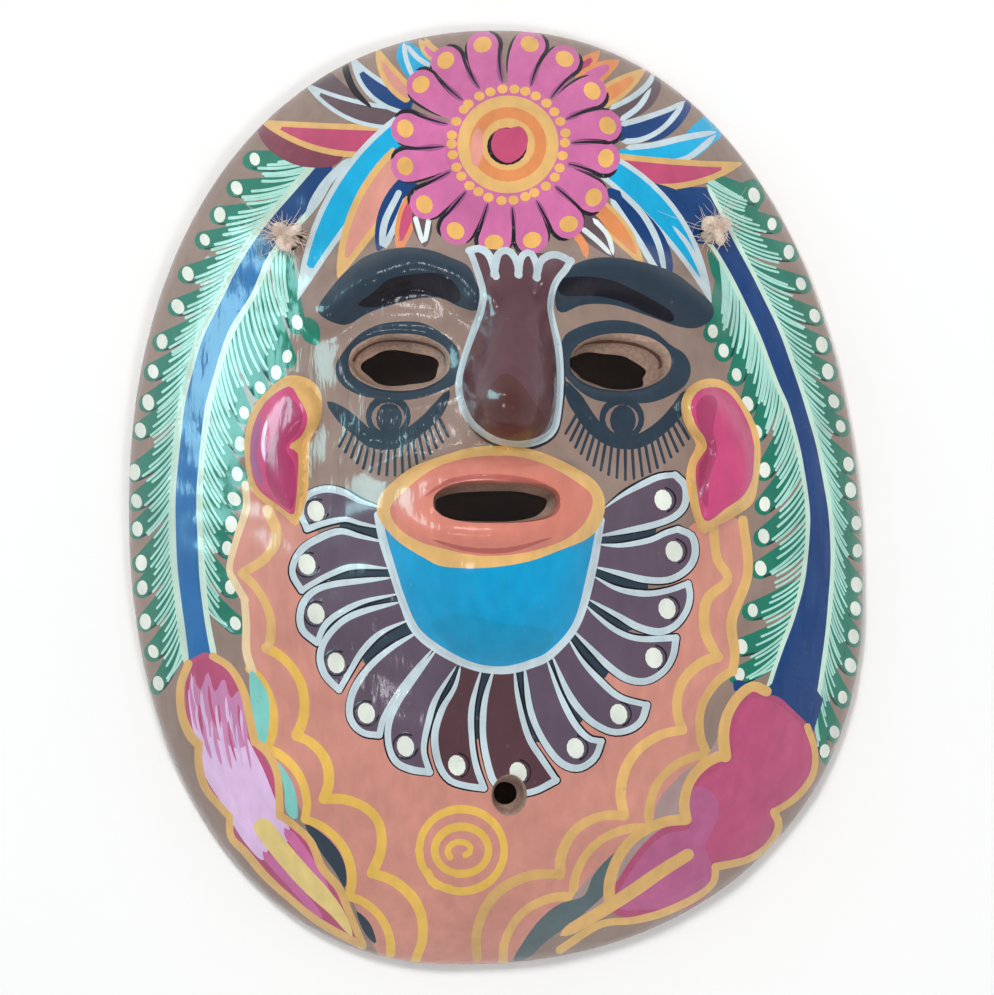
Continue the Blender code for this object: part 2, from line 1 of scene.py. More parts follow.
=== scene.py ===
"""The looks of the painted clay folk art mask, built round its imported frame.

One closed mesh stands for the mask: the same forms as the frame's shell, with
the outline of every painted shape cut into its front, so that each face of the
mesh has one paint. Places in the painting are pixels of the photograph, 994 wide
and 995 high, and the mask lies face up under a camera that looks straight down.
"""

import math

import bpy
import numpy as np
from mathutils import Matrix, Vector, kdtree
from mathutils.geometry import delaunay_2d_cdt


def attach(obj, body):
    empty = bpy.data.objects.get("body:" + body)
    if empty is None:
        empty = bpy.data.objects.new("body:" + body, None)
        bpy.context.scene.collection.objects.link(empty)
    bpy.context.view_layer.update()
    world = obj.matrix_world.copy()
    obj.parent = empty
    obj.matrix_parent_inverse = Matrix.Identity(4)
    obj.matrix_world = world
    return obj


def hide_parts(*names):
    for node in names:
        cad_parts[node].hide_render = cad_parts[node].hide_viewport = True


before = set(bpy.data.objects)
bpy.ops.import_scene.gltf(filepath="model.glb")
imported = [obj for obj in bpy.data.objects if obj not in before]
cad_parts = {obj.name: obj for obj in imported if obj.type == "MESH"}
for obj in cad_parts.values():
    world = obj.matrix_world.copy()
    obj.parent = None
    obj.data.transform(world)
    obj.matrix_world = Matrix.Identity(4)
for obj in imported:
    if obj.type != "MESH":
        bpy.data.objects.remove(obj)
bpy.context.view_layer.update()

MM = 0.001

# The photograph: metres for one pixel, and the pixel over the mask's origin
PIXEL = MM / 3.478
PICTURE_CENTRE = (496.0, 497.5)
PICTURE_WIDTH = 994

# Sizes of the mask, as its frame has them
HEIGHT = 270.0 * MM
WIDTH = 212.2 * MM
DOME_RISE = 56.0 * MM
WALL = 6.5 * MM
CROWN_X = -0.1 * MM
CHIN_X = -11.2 * MM
LEFT_SIDE_Y = -3.4 * MM
RIGHT_SIDE_Y = -28.7 * MM
CROWN_SQUARENESS = 2.16
CHIN_SQUARENESS = 2.18
RIM_WIDTH = 7.2 * MM
RIM_EDGE_HEIGHT = 4.0 * MM
RIM_OUTER_ROUND = 1.8 * MM
RIM_INNER_BEVEL = 1.2 * MM
NOSE_STATIONS = np.array([
    [14.0, 4.0, 3.5, 0.5],
    [17.5, 4.2, 9.4, 11.0],
    [22.0, 4.2, 12.4, 18.5],
    [28.0, 3.9, 13.6, 22.5],
    [35.5, 4.0, 13.8, 20.5],
    [45.0, 5.2, 11.8, 14.5],
    [54.0, 6.3, 9.6, 9.5],
    [64.0, 6.8, 10.6, 5.5],
    [72.0, 6.8, 13.8, 0.8],
]) * MM
BROW_LEFT = np.array([[-5.5, 58.0], [-12.0, 64.0], [-24.0, 67.5], [-37.0, 63.0], [-48.5, 54.0]]) * MM
BROW_RIGHT = np.array([[17.5, 62.0], [28.0, 66.0], [40.0, 65.5], [52.0, 60.0], [62.0, 52.5]]) * MM
BROW_HALF_WIDTH = 8.5 * MM
BROW_RISE = 6.5 * MM
EYE_LEFT = np.array([-27.6, 38.7]) * MM
EYE_RIGHT = np.array([35.6, 38.8]) * MM
EYE_SIZE = np.array([14.6, 8.2]) * MM
EYE_BACK_SIZE = np.array([11.3, 4.9]) * MM
EYE_LEFT_SLANT = np.array([0.3, -1.7]) * MM
EYE_RIGHT_SLANT = np.array([-3.4, -2.6]) * MM
EYE_SQUARENESS = 2.1
LID_WIDTH = 5.0 * MM
LID_RISE = 1.5 * MM
SOCKET_SIZE = np.array([25.0, 17.0]) * MM
SOCKET_DEPTH = 3.2 * MM
PAD_LEFT = np.array([
    [-59.5, 34.5], [-52.0, 30.0], [-50.5, 22.0], [-55.5, 16.0], [-55.0, 8.0], [-56.5, -3.0],
    [-58.5, -7.0], [-65.0, -1.0], [-71.0, 6.0], [-71.5, 17.0], [-67.5, 28.0],
]) * MM
PAD_RIGHT = np.array([
    [60.0, 33.0], [67.5, 27.5], [73.5, 17.0], [75.0, 5.0], [71.5, -3.5], [65.0, -7.5],
    [58.5, -10.0], [56.0, 1.0], [59.0, 14.5], [53.5, 19.5], [53.0, 29.0],
]) * MM
PAD_RISE = 6.5 * MM
PAD_SHOULDER = 6.0 * MM
SNOUT_CENTRE = np.array([-0.9, -2.7]) * MM
SNOUT_HALF_WIDTH = 31.5 * MM
SNOUT_UP = 17.0 * MM
SNOUT_DOWN = 46.0 * MM
SNOUT_RISE = 9.0 * MM
SNOUT_SQUARENESS = 2.15
MOUTH = np.array([0.4, -1.2]) * MM
MOUTH_SIZE = np.array([18.0, 6.1]) * MM
MOUTH_BACK_SIZE = np.array([15.4, 4.4]) * MM
MOUTH_SLANT = np.array([-2.0, -1.3]) * MM
MOUTH_SQUARENESS = 2.7
LIP_WIDTH = 8.5 * MM
LIP_RISE = 3.2 * MM
MUZZLE_CENTRE = np.array([0.0, -10.0]) * MM
MUZZLE_SIZE = np.array([58.0, 60.0]) * MM
MUZZLE_RISE = 5.0 * MM
CHIN_HOLE = np.array([3.8, -85.2]) * MM
CHIN_HOLE_SIZE = np.array([5.0, 6.1]) * MM
CHIN_HOLE_BACK_SIZE = np.array([3.3, 3.3]) * MM
CHIN_HOLE_SLANT = np.array([-1.2, 0.4]) * MM
CORD_HOLE_LEFT = np.array([-58.5, 74.0]) * MM
CORD_HOLE_RIGHT = np.array([61.5, 75.8]) * MM
CORD_HOLE_RADIUS = 3.3 * MM

# How steeply each form of the face rises at its edge, and its share in the hollow behind
DOME_POWER = 0.72
NOSE_POWER = 0.65
PAD_POWER = 0.8
SNOUT_POWER = 0.8
SNOUT_FLATNESS = 1.3
SOFT_POWER = 1.5
BROAD_POWER = 2
HOLLOW_NOSE = 0.45
HOLLOW_SNOUT = 0.4

# Cord and knots
CORD_DIAMETER = 3.5 * MM
CORD_ROUTE = np.array([
    [-50.5, 61.5, 20.5], [-48.0, 58.5, 13.5], [-43.5, 57.0, 7.0], [-37.0, 56.8, 3.2],
    [-29.0, 57.8, 2.2], [-19.5, 60.0, 2.1], [-9.0, 62.8, 2.1], [2.0, 64.6, 2.1],
    [13.0, 64.6, 2.1], [23.5, 62.8, 2.1], [33.0, 60.6, 2.3], [41.0, 59.4, 3.6],
    [47.0, 59.9, 8.0], [50.6, 61.4, 14.5], [52.6, 63.6, 21.5],
]) * MM
CORD_STRAIGHT = 3.0 * MM
CORD_STEP = 0.9 * MM
CORD_SIDES = 18
CORD_STRANDS = 3
CORD_PITCH = 13.0 * MM
TOUCH_GAP = 0.3 * MM
KNOT_HEIGHT = 4.0 * MM
KNOT_LOOP = 2.75 * MM
KNOT_TUBE = 1.45 * MM
LOBE_DEPTH = 0.2
FIBRE_RADIUS = 0.07 * MM
SHORT_FIBRE_MM = (2.5, 5.0)
LONG_FIBRE_MM = (4.5, 11)

# How fine the mask's mesh is
FRONT_STEP = 1.5 * MM
BACK_STEP = 2.8 * MM
RIM_SEGMENTS = 360
EDGE_RINGS = (0.997, 0.991, 0.982, 0.97)
BACK_RINGS = (0.985, 0.95, 0.91)
LINE_STEP = 5.0
WALL_RINGS = 6
FRONT_MARGIN, FRONT_CLEARANCE = 0.006, 0.55
BACK_MARGIN, BACK_CLEARANCE = 0.01, 0.5
SAME_PLACE = 0.001 * MM
CUT_TOLERANCE = 1e-7
NEARLY_ZERO = 1e-12
SHARP_ANGLE = 50

# Thickness of the paint, and how uneven the clay is, with its longest and shortest swells
PAINT_LIFT = 0.16 * MM
HAND_UNEVEN = 0.32 * MM
FRONT_SWELLS = (48 * MM, 7 * MM)
BACK_SWELLS = (30 * MM, 9 * MM)
BACK_UNEVEN = 2.2
BACK_SMOOTH_EDGE = 6 * MM
SWELL_COUNT = 26
CUT_UNEVEN = 0.45 * MM
LOOP_WAVER = 0.022
ANY_PHASE = 6.3
PAINT_SEED, FRONT_SEED, BACK_SEED, WALL_SEED = 11, 3, 5, 40

# Materials of the mask's faces, and what tints their colour: bare, or crease line and painted shade
PAINTED, CUT, BACK = 0, 1, 2
BARE, CREASE_AND_SHADE = np.array([1.0, 1.0, 1.0]), np.array([0.4, 0.27, 0.25])

# The openings by their numbers, and the rings of their walls that are painted, or darkened as a crease and
# painted shade
EYES, MOUTH_NUMBER, BORES = (0, 1), 2, (4, 5)
LIP_PAINT_RINGS = 2
CREASE_AND_SHADE_RINGS = (3, 4)

# Camera and light: the photograph's scale holds at one height above the floor
CAMERA_HEIGHT = 4.0
SCALE_HEIGHT = 0.03
FLOOR_HALF = 1.5
ROOM_LIGHT = (0.95, 0.22)
LIGHT_AIM = (0.0, 0.0, 0.04)
LAMPS = (
    ("key", (-0.2, 0.5, 1.2), (0.3, 0.3), 9.0, (1.0, 0.985, 0.97), "paint"),
    ("fill", (0.4, -0.4, 1.15), (0.3, 0.3), 3.6, (1.0, 0.99, 0.98), "paint"),
    ("window", (-1.0, 0.3, 0.42), (0.52, 0.7), 19.0, (0.5, 0.96, 1.0), "lacquer"),
    ("lamp", (-0.35, 0.55, 1.2), (0.2, 0.2), 3.2, (0.97, 0.99, 1.0), "lacquer"),
    ("lamp_low", (-0.45, -0.5, 1.15), (0.16, 0.12), 1.8, (0.97, 0.99, 1.0), "lacquer"),
)

# Colours of the paint and the clay, as the photograph's light shows them
COLOURS = {
    "clay": "8F7A70",
    "dull_clay": "857069",
    "mauve_clay": "A38A88",
    "salmon": "D29082",
    "orange": "DD8C56",
    "yellow": "D6AB6B",
    "gold": "E2B656",
    "amber": "E2AE62",
    "magenta": "C6699D",
    "deep_magenta": "9E5488",
    "rose": "BC4A70",
    "cheek": "C74A7A",
    "bud": "B64F76",
    "pale_bud": "B25C88",
    # Pale lilac: partly paint, partly painted reflection on the left bud and painted highlight on the left
    # pad
    "lilac": "D6B6DC",
    "mallow": "C280AB",
    "cyan": "00A6D6",
    "bowl": "0094C6",
    # Painted shade on the bowl's lower slope
    "deep_bowl": "048DBA",
    "navy": "083A74",
    "stem": "1F68A8",
    "slate": "2A3947",
    "dull_slate": "55666A",
    "black": "15131F",
    # Dark lines, and also the painted shadow under the nose
    "ink": "2E2633",
    "deep_green": "0D3B3A",
    "maroon": "5A3A42",
    "deep_maroon": "52302F",
    "crimson": "A63C66",
    "straw": "E2C880",
    "pale_yellow": "E3C9A0",
    "wine": "7C3A4C",
    "petal": "5C4D5E",
    "dusk": "55383F",
    "light": "BFCFD6",
    "white": "D9E2E2",
    "mint": "A6D8CC",
    "rib": "C3DECF",
    "green": "147560",
    "cream": "E0E6DC",
    "lip": "C97A6A",
    "deep_lip": "AD5C54",
    "teal": "78BFB8",
    "taupe": "5F4D54",
    "cut_clay": "B89A8A",
    "back_clay": "A9705A",
    "sisal": "EBDACC",
    "dark_sisal": "CDB5A5",
}


def linear(hexadecimal):
    """A colour as six hexadecimal digits, in linear light."""
    levels = np.array([int(hexadecimal[place:place + 2], 16) / 255 for place in (0, 2, 4)])
    return np.where(levels <= 0.04045, levels / 12.92, ((levels + 0.055) / 1.055) ** 2.4)


# Curves and outlines


def smooth_curve(points, steps, closed=False):
    """Catmull-Rom curve through the points, with so many steps in each span."""
    points = np.asarray(points, float)
    if closed:
        around = np.vstack([points[-1:], points, points[:2]])
    else:
        around = np.vstack([2 * points[0] - points[1], points, 2 * points[-1] - points[-2]])
    share = (np.arange(steps) / steps)[:, None]
    curve = []
    for before, start, end, after in zip(around, around[1:], around[2:], around[3:]):
        bend = 2 * before - 5 * start + 4 * end - after
        twist = 3 * (start - end) + after - before
        curve.append(start + 0.5 * share * (end - before + share * (bend + share * twist)))
    if not closed:
        curve.append(points[-1:])
    return np.vstack(curve)


def evenly(points, step, closed=False):
    """The same line, with its points evenly spaced."""
    points = np.asarray(points, float)
    if closed:
        points = np.vstack([points, points[:1]])
    run = np.concatenate([[0.0], np.cumsum(np.linalg.norm(np.diff(points, axis=0), axis=1))])
    count = max(int(round(run[-1] / step)), 3)
    places = np.linspace(0.0, run[-1], count + 1)
    line = np.column_stack([np.interp(places, run, points[:, axis]) for axis in range(points.shape[1])])
    return line[:-1] if closed else line


def normals(line):
    ahead = np.gradient(line, axis=0)
    return np.column_stack([-ahead[:, 1], ahead[:, 0]]) / np.maximum(np.hypot(*ahead.T), NEARLY_ZERO)[:, None]


def unit_oval(turns, squareness):
    across = np.sign(np.cos(turns)) * np.abs(np.cos(turns)) ** (2 / squareness)
    up = np.sign(np.sin(turns)) * np.abs(np.sin(turns)) ** (2 / squareness)
    return np.column_stack([across, up])


def outline_points(segments):
    """The rim's outer edge, anticlockwise from the right side, as rows of x and y."""
    turns = 2 * math.pi * np.arange(segments) / segments
    right, crown = np.cos(turns) > NEARLY_ZERO, np.sin(turns) >= -NEARLY_ZERO
    middle = np.column_stack([
        np.where(crown, CROWN_X, CHIN_X),
        np.where(right, RIGHT_SIDE_Y, LEFT_SIDE_Y),
    ])
    shape = np.where(crown[:, None], unit_oval(turns, CROWN_SQUARENESS), unit_oval(turns, CHIN_SQUARENESS))
    reach = np.column_stack([
        WIDTH / 2 - np.sign(shape[:, 0]) * middle[:, 0],
        HEIGHT / 2 - np.sign(shape[:, 1]) * middle[:, 1],
    ])
    return middle + reach * shape


FINE_OUTLINE = outline_points(720)


def inset(points, distance):
    """The points moved towards the origin by a distance."""
    radii = np.hypot(points[:, 0], points[:, 1])[:, None]
    return points * (1 - distance / radii)


def radius_towards(x, y, closed_outline):
    """Distance from the origin to a closed outline, in the direction of each point."""
    angles = np.arctan2(closed_outline[:, 1], closed_outline[:, 0])
    order = np.argsort(angles)
    radii = np.hypot(closed_outline[:, 0], closed_outline[:, 1])
    return np.interp(np.arctan2(y, x), angles[order], radii[order], period=2 * math.pi)


def inside_loop(points, loop):
    """Whether each point is inside a closed loop, by how often the loop winds round it."""
    x, y = points[:, 0], points[:, 1]
    winding = np.zeros(len(points), dtype=int)
    for (start_x, start_y), (end_x, end_y) in zip(loop, np.roll(loop, -1, axis=0)):
        if start_y == end_y:
            continue
        crossing = start_x + (y - start_y) * (end_x - start_x) / (end_y - start_y)
        hit = ((start_y > y) != (end_y > y)) & (x < crossing)
        winding[hit] += 1 if end_y > start_y else -1
    return winding != 0


def plan_tree(places):
    """A search tree of places in plan."""
    tree = kdtree.KDTree(len(places))
    for index, (px, py) in enumerate(places):
        tree.insert((px, py, 0.0), index)
    tree.balance()
    return tree


def nearest_distance(points, others):
    """From each point to the nearest of the others, in plan."""
    tree = plan_tree(others)
    return np.array([tree.find((px, py, 0.0))[2] for px, py in points])


def hex_grid(step):
    rows = []
    count_up, count_across = int(HEIGHT / step), int(WIDTH / step)
    for row in range(-count_up, count_up + 1):
        across = (np.arange(-count_across, count_across + 1) + 0.5 * (row % 2)) * step
        rows.append(np.column_stack([across, np.full(len(across), row * step * math.sqrt(0.75))]))
    return np.vstack(rows)


def grid_inside(step, outline, farthest, fixed, clearance):
    """Grid points up to a share of the way to an outline, clear of the places already fixed."""
    grid = hex_grid(step)
    share = np.hypot(*grid.T) / radius_towards(grid[:, 0], grid[:, 1], outline)
    grid = grid[share < farthest]
    return grid[nearest_distance(grid, fixed) > clearance * step]


# Height of the two faces


def hump(share, power):
    """1 where the share is 0, falling smoothly to 0 where it is 1 or more."""
    return np.clip(1.0 - share * share, 0.0, 1.0) ** power


def oval_share(x, y, centre, size, squareness=2.0):
    """0 at an oval's centre, 1 on its edge."""
    across = np.abs((x - centre[0]) / size[0]) ** squareness
    up = np.abs((y - centre[1]) / size[1]) ** squareness
    return (across + up) ** (1 / squareness)


def station_value(column, y):
    places, values = NOSE_STATIONS[:, 0], NOSE_STATIONS[:, column]
    slopes = np.gradient(values, places)
    span = np.clip(np.searchsorted(places, y) - 1, 0, len(places) - 2)
    length = places[span + 1] - places[span]
    t = np.clip((y - places[span]) / length, 0.0, 1.0)
    start = (2 * t**3 - 3 * t**2 + 1) * values[span] + (t**3 - 2 * t**2 + t) * length * slopes[span]
    end = (3 * t**2 - 2 * t**3) * values[span + 1] + (t**3 - t**2) * length * slopes[span + 1]
    return start + end


def nose_rise(x, y):
    across = (x - station_value(1, y)) / np.maximum(station_value(2, y), MM)
    inside = (y > NOSE_STATIONS[0, 0]) & (y < NOSE_STATIONS[-1, 0])
    return np.where(inside, station_value(3, y) * hump(across, NOSE_POWER), 0.0)


def brow_rise(x, y, route):
    places = np.column_stack([x, y])
    near = np.abs(y - route[:, 1].mean()) < 5 * BROW_HALF_WIDTH
    away = np.full(len(x), 1.0)
    away[near] = nearest_distance(places[near], evenly(smooth_curve(route, 12), 0.3 * MM))
    return BROW_RISE * hump(away / BROW_HALF_WIDTH, SOFT_POWER)


def lid_rise(x, y, centre):
    away = (oval_share(x, y, centre, EYE_SIZE, EYE_SQUARENESS) - 1) * EYE_SIZE.mean()
    return LID_RISE * hump((away - LID_WIDTH / 2) / LID_WIDTH, BROAD_POWER)


def pad_rise(x, y, outline):
    curve = smooth_curve(outline, 12, closed=True)
    places = np.column_stack([x, y])
    rise = np.zeros(len(x))
    inside = inside_loop(places, curve)
    away = nearest_distance(places[inside], evenly(curve, 0.3 * MM, closed=True))
    rise[inside] = PAD_RISE * hump(np.clip(1 - away / PAD_SHOULDER, 0, 1), PAD_POWER)
    return rise


def snout_rise(x, y):
    half_height = np.where(y > SNOUT_CENTRE[1], SNOUT_UP, SNOUT_DOWN)
    share = oval_share(x, y, SNOUT_CENTRE, (SNOUT_HALF_WIDTH, half_height), SNOUT_SQUARENESS)
    return SNOUT_RISE * hump(share**SNOUT_FLATNESS, SNOUT_POWER)


def lip_rise(x, y):
    away = (oval_share(x, y, MOUTH, MOUTH_SIZE, MOUTH_SQUARENESS) - 1) * MOUTH_SIZE[1]
    return LIP_RISE * hump((away - LIP_WIDTH / 3) / (LIP_WIDTH * 2 / 3), SOFT_POWER)


def broad_form(x, y):
    form = MUZZLE_RISE * hump(oval_share(x, y, MUZZLE_CENTRE, MUZZLE_SIZE), BROAD_POWER)
    for centre in (EYE_LEFT, EYE_RIGHT):
        form -= SOCKET_DEPTH * hump(oval_share(x, y, centre, SOCKET_SIZE), BROAD_POWER)
    return form


def dome(x, y, outline, base, rise):
    return base + rise * hump(np.hypot(x, y) / radius_towards(x, y, outline), DOME_POWER)


def unevenness(x, y, longest, shortest, seed):
    """A mild random swell, as hands leave it, of about unit size."""
    draw = np.random.default_rng(seed)
    total = np.zeros_like(x)
    for _ in range(SWELL_COUNT):
        turn, phase = draw.uniform(0, 2 * math.pi, 2)
        length = shortest * (longest / shortest) ** draw.uniform()
        along = x * math.cos(turn) + y * math.sin(turn)
        total += (length / longest) ** 0.7 * np.sin(2 * math.pi * along / length + phase)
    return total / 2.6


def front_height(x, y):
    """Height of the painted face above the floor, as the frame has it."""
    height = dome(x, y, FINE_OUTLINE, RIM_EDGE_HEIGHT, DOME_RISE) + broad_form(x, y)
    height += nose_rise(x, y) + snout_rise(x, y) + lip_rise(x, y)
    for route in (BROW_LEFT, BROW_RIGHT):
        height += brow_rise(x, y, route)
    for centre in (EYE_LEFT, EYE_RIGHT):
        height += lid_rise(x, y, centre)
    for outline in (PAD_LEFT, PAD_RIGHT):
        height += pad_rise(x, y, outline)
    return height


def back_height(x, y):
    """Height of the hollow's roof, as the frame has it."""
    rise = DOME_RISE + RIM_EDGE_HEIGHT - WALL - RIM_INNER_BEVEL
    hollow = HOLLOW_NOSE * nose_rise(x, y) + HOLLOW_SNOUT * snout_rise(x, y)
    return dome(x, y, inset(FINE_OUTLINE, RIM_WIDTH), RIM_INNER_BEVEL, rise) + broad_form(x, y) + hollow


def front_place(centre):
    """The point of the front face over a place, and the normal there."""
    x = centre[0] + np.array([0.0, MM, -MM, 0.0, 0.0])
    y = centre[1] + np.array([0.0, 0.0, 0.0, MM, -MM])
    z = front_height(x, y)
    normal = Vector(((z[2] - z[1]) / (2 * MM), (z[4] - z[3]) / (2 * MM), 1.0)).normalized()
    return Vector((centre[0], centre[1], z[0])), normal


# The painting, in pixels of the photograph


def metres(pixels):
    """Pixels of the photograph as places on the mask."""
    return (np.asarray(pixels, float) - PICTURE_CENTRE) * (PIXEL, -PIXEL)


TONE_SPREAD = 0.035
STROKE_WAVER = 0.07
CAP_TURNS = np.radians((30, 60, 90, 120, 150))[:, None]


class Painting:
    """Painted shapes, each one over those before it."""

    def __init__(self):
        self.shapes = []
        self.draw = np.random.default_rng(PAINT_SEED)

    def shape(self, colour, outline, ridge=None):
        """A filled shape. Its ridge is the line along which the paint is thickest."""
        tone = self.draw.normal(1.0, TONE_SPREAD)
        self.shapes.append((colour, metres(outline), tone, None if ridge is None else metres(ridge)))

    def area(self, colour, outline):
        """A filled shape, with the points of its outline evenly spaced."""
        self.shape(colour, evenly(outline, LINE_STEP, closed=True))

    def fill(self, colour, points):
        """A smooth closed outline through the points."""
        self.area(colour, smooth_curve(points, 6, closed=True))

    def stroke(self, colour, points, width, ends=(None, None)):
        """A brush stroke along the points. Its ends are round, or taper over the lengths given."""
        line = evenly(smooth_curve(points, 8), min(LINE_STEP, max(width, 3.0)))
        run = np.concatenate([[0.0], np.cumsum(np.hypot(*np.diff(line, axis=0).T))])
        phase = self.draw.uniform(0, 2 * math.pi)
        half = width / 2 * (1 + STROKE_WAVER * np.sin(run / (2.2 * width) + phase))
        for taper, length in zip(ends, (run, run[-1] - run)):
            if taper is not None:
                half = half * np.sqrt(np.clip(length / taper, 0, 1))
        aside = normals(line)
        ahead = np.column_stack([aside[:, 1], -aside[:, 0]])
        caps = []
        for place, taper, side in ((-1, ends[1], 1), (0, ends[0], -1)):
            cap = side * half[place] * (np.cos(CAP_TURNS) * aside[place] + np.sin(CAP_TURNS) * ahead[place])
            caps.append(line[place] + cap if taper is None else line[[place]])
        body = slice(ends[0] is not None, len(line) - (ends[1] is not None))
        half = half[:, None]
        left, right = (line + aside * half)[body], (line - aside * half)[body]
        self.shape(colour, np.vstack([left, caps[0], right[::-1], caps[1]]), ridge=line[1:-1])

    def oval(self, colour, centre, size, turn=0.0, count=12):
        """A dab, with its first radius turned from the right towards the bottom, in degrees."""
        angle = math.radians(turn)
        ahead = np.array([math.cos(angle), math.sin(angle)])
        aside = np.array([-math.sin(angle), math.cos(angle)])
        rows = unit_oval(2 * math.pi * np.arange(count) / count, 2.0)
        rows = rows[:, :1] * size[0] * ahead + rows[:, 1:] * size[1] * aside
        self.shape(colour, np.asarray(centre) + rows, ridge=np.asarray([centre], float))

    def leaf(self, colour, root, tip, width, bow=0.0, edge=None, rim=4.0):
        """A pointed leaf from its root to its tip, bowed aside, with an edge in another colour."""
        root, tip = np.asarray(root, float), np.asarray(tip, float)
        along = tip - root
        aside = np.array([-along[1], along[0]]) / np.hypot(*along)
        share = np.linspace(0.0, 1.0, 13)[:, None]
        line = root + along * share + aside * bow * 4 * share * (1 - share)
        half = width / 2 * np.sin(math.pi * (0.3 + 0.7 * share)) ** 0.8
        side = normals(line) * half
        if edge is not None:
            self.area(edge, np.vstack([line + side, (line - side)[-2::-1]]))
            side = normals(line) * np.maximum(half - rim, 0)
            inner = (half - rim)[:, 0] > 0.8
            line, side = line[inner], side[inner]
        self.area(colour, np.vstack([line + side, (line - side)[::-1]]))

    def scallops(self, colour, cusps, bulges, width):
        """Arcs from cusp to cusp, each bulging by its share of the way between them."""
        share = np.linspace(0.0, 1.0, 9)[:, None]
        for start, end, bulge in zip(np.array(cusps, float), np.array(cusps[1:], float), bulges):
            along = end - start
            aside = np.array([-along[1], along[0]]) * bulge
            self.stroke(colour, start + along * share + aside * np.sin(math.pi * share) ** 0.75, width)


SHAPE, FILL, STROKE = Painting.shape, Painting.fill, Painting.stroke
LEAF, SCALLOPS = Painting.leaf, Painting.scallops


def paint_rows(painting, rows):
    """The rows of a table in their order: a kind of shape, and what that kind asks for."""
    for kind, *told in rows:
        kind(painting, *told)


def bezier(start, pull, end, count):
    share = np.linspace(0.0, 1.0, count)[:, None]
    return start * (1 - share) ** 2 + 2 * pull * share * (1 - share) + end * share**2


def between(first, second, steps):
    """A closed outline, out along one edge and back along the other."""
    return np.vstack([smooth_curve(first, steps), smooth_curve(second, steps)[::-1]])


CHIN_AREA = [
    (246, 486), (247, 510), (236, 542), (230, 570), (244, 600), (247, 640), (262, 690), (270, 748),
    (306, 819), (350, 897), (387, 968), (440, 974), (504, 968), (573, 897), (650, 828), (706, 754),
    (700, 735), (698, 708), (716, 684), (733, 666), (731, 619), (747, 572), (740, 522), (715, 520),
    (690, 525), (672, 560), (640, 640), (560, 700), (500, 720), (420, 700), (345, 640), (330, 560),
    (312, 520), (298, 500), (275, 498),
]
LEFT_STEM_LEFT = [
    (322, 160), (269, 222), (242, 260), (221, 302), (202, 340), (191, 379), (183, 417), (176, 491),
    (176, 545), (181, 599), (190, 668),
]
LEFT_STEM_RIGHT = [
    (330, 174), (311, 206), (271, 252), (252, 293), (229, 331), (214, 375), (204, 417), (197, 491),
    (199, 563), (204, 616), (213, 664),
]
RIGHT_STEM_LEFT = [
    (676, 187), (690, 218), (716, 249), (743, 298), (762, 340), (779, 384), (790, 410), (802, 457),
    (810, 515), (806, 572), (796, 614), (783, 649), (767, 697),
]
RIGHT_STEM_RIGHT = [
    (706, 187), (722, 218), (737, 247), (758, 287), (779, 331), (795, 375), (808, 415), (819, 457),
    (829, 515), (831, 563), (827, 620), (819, 683), (809, 730),
]
LEFT_OUTER_DOTS = [
    (254, 158), (236, 187), (219, 214), (204, 239), (187, 273), (177, 306), (161, 341), (152, 371),
    (147, 402), (139, 430), (133, 472), (135, 501), (136, 529), (140, 563), (141, 588), (144, 622),
    (152, 652), (157, 684),
]
LEFT_INNER_DOTS = [
    (298, 323), (288, 357), (277, 373), (261, 388), (245, 413), (241, 444), (238, 474), (235, 499),
    (232, 524), (228, 548), (231, 587), (236, 623),
]
RIGHT_OUTER_DOTS = [
    (755, 194), (773, 223), (790, 251), (802, 283), (816, 315), (823, 344), (829, 371), (835, 401),
    (842, 426), (850, 464), (852, 490), (858, 523), (859, 551), (858, 585), (857, 609), (855, 637),
    (852, 666), (844, 698), (836, 733), (826, 752),
]
RIGHT_INNER_DOTS = [
    (712, 332), (723, 351), (736, 375), (747, 404), (756, 432), (764, 470), (764, 504), (763, 536),
    (760, 568), (752, 610), (741, 646), (739, 674),
]
STEM_TIPS = [
    (FILL, "green", [(245, 152), (262, 150), (290, 160), (318, 158), (300, 176), (262, 172), (243, 165)]),
    (FILL, "green", [(306, 318), (320, 326), (319, 346), (303, 338)]),
    (FILL, "green", [(708, 250), (722, 270), (728, 296), (712, 276)]),
    (FILL, "green", [(724, 200), (753, 177), (765, 192), (753, 214)]),
]
STEM_BEND = [(322, 160), (332, 172), (312, 204), (280, 242), (262, 262), (254, 244), (268, 222)]

# For each side of a stem: its edge, the side of the edge that its rib is on, its dots, how far
# a tongue's root is back from its dot at the top and at the foot, the pitch and width of the
# teeth, how far a tongue ends beyond its dot, and the width of the rib
STEM_SIDES = (
    (LEFT_STEM_LEFT, 1, LEFT_OUTER_DOTS, (40, 30), 6.6, 2.7, 2, 7.0),
    (LEFT_STEM_RIGHT, -1, LEFT_INNER_DOTS, (58, 34), 8.0, 2.8, 4, 6.0),
    (RIGHT_STEM_LEFT, 1, RIGHT_INNER_DOTS, (50, 32), 7.2, 2.7, 3, 4.5),
    (RIGHT_STEM_RIGHT, -1, RIGHT_OUTER_DOTS, (36, 32), 6.3, 2.1, 3, 4.5),
)
TONGUE_HALF_ROOT = 16
TONGUE_TIP_RADIUS = 9.5
TONGUE_TIP_TURNS = np.radians(np.arange(-60, 141, 25))[:, None]
TOOTH_BEND = 0.15
TEETH_BEYOND = 13
TEETH_GAP = 14
TEETH_GAP_SHARE = 0.26
DOT_SIZE = (7.6, 5.6)
DOT_TURN = 80


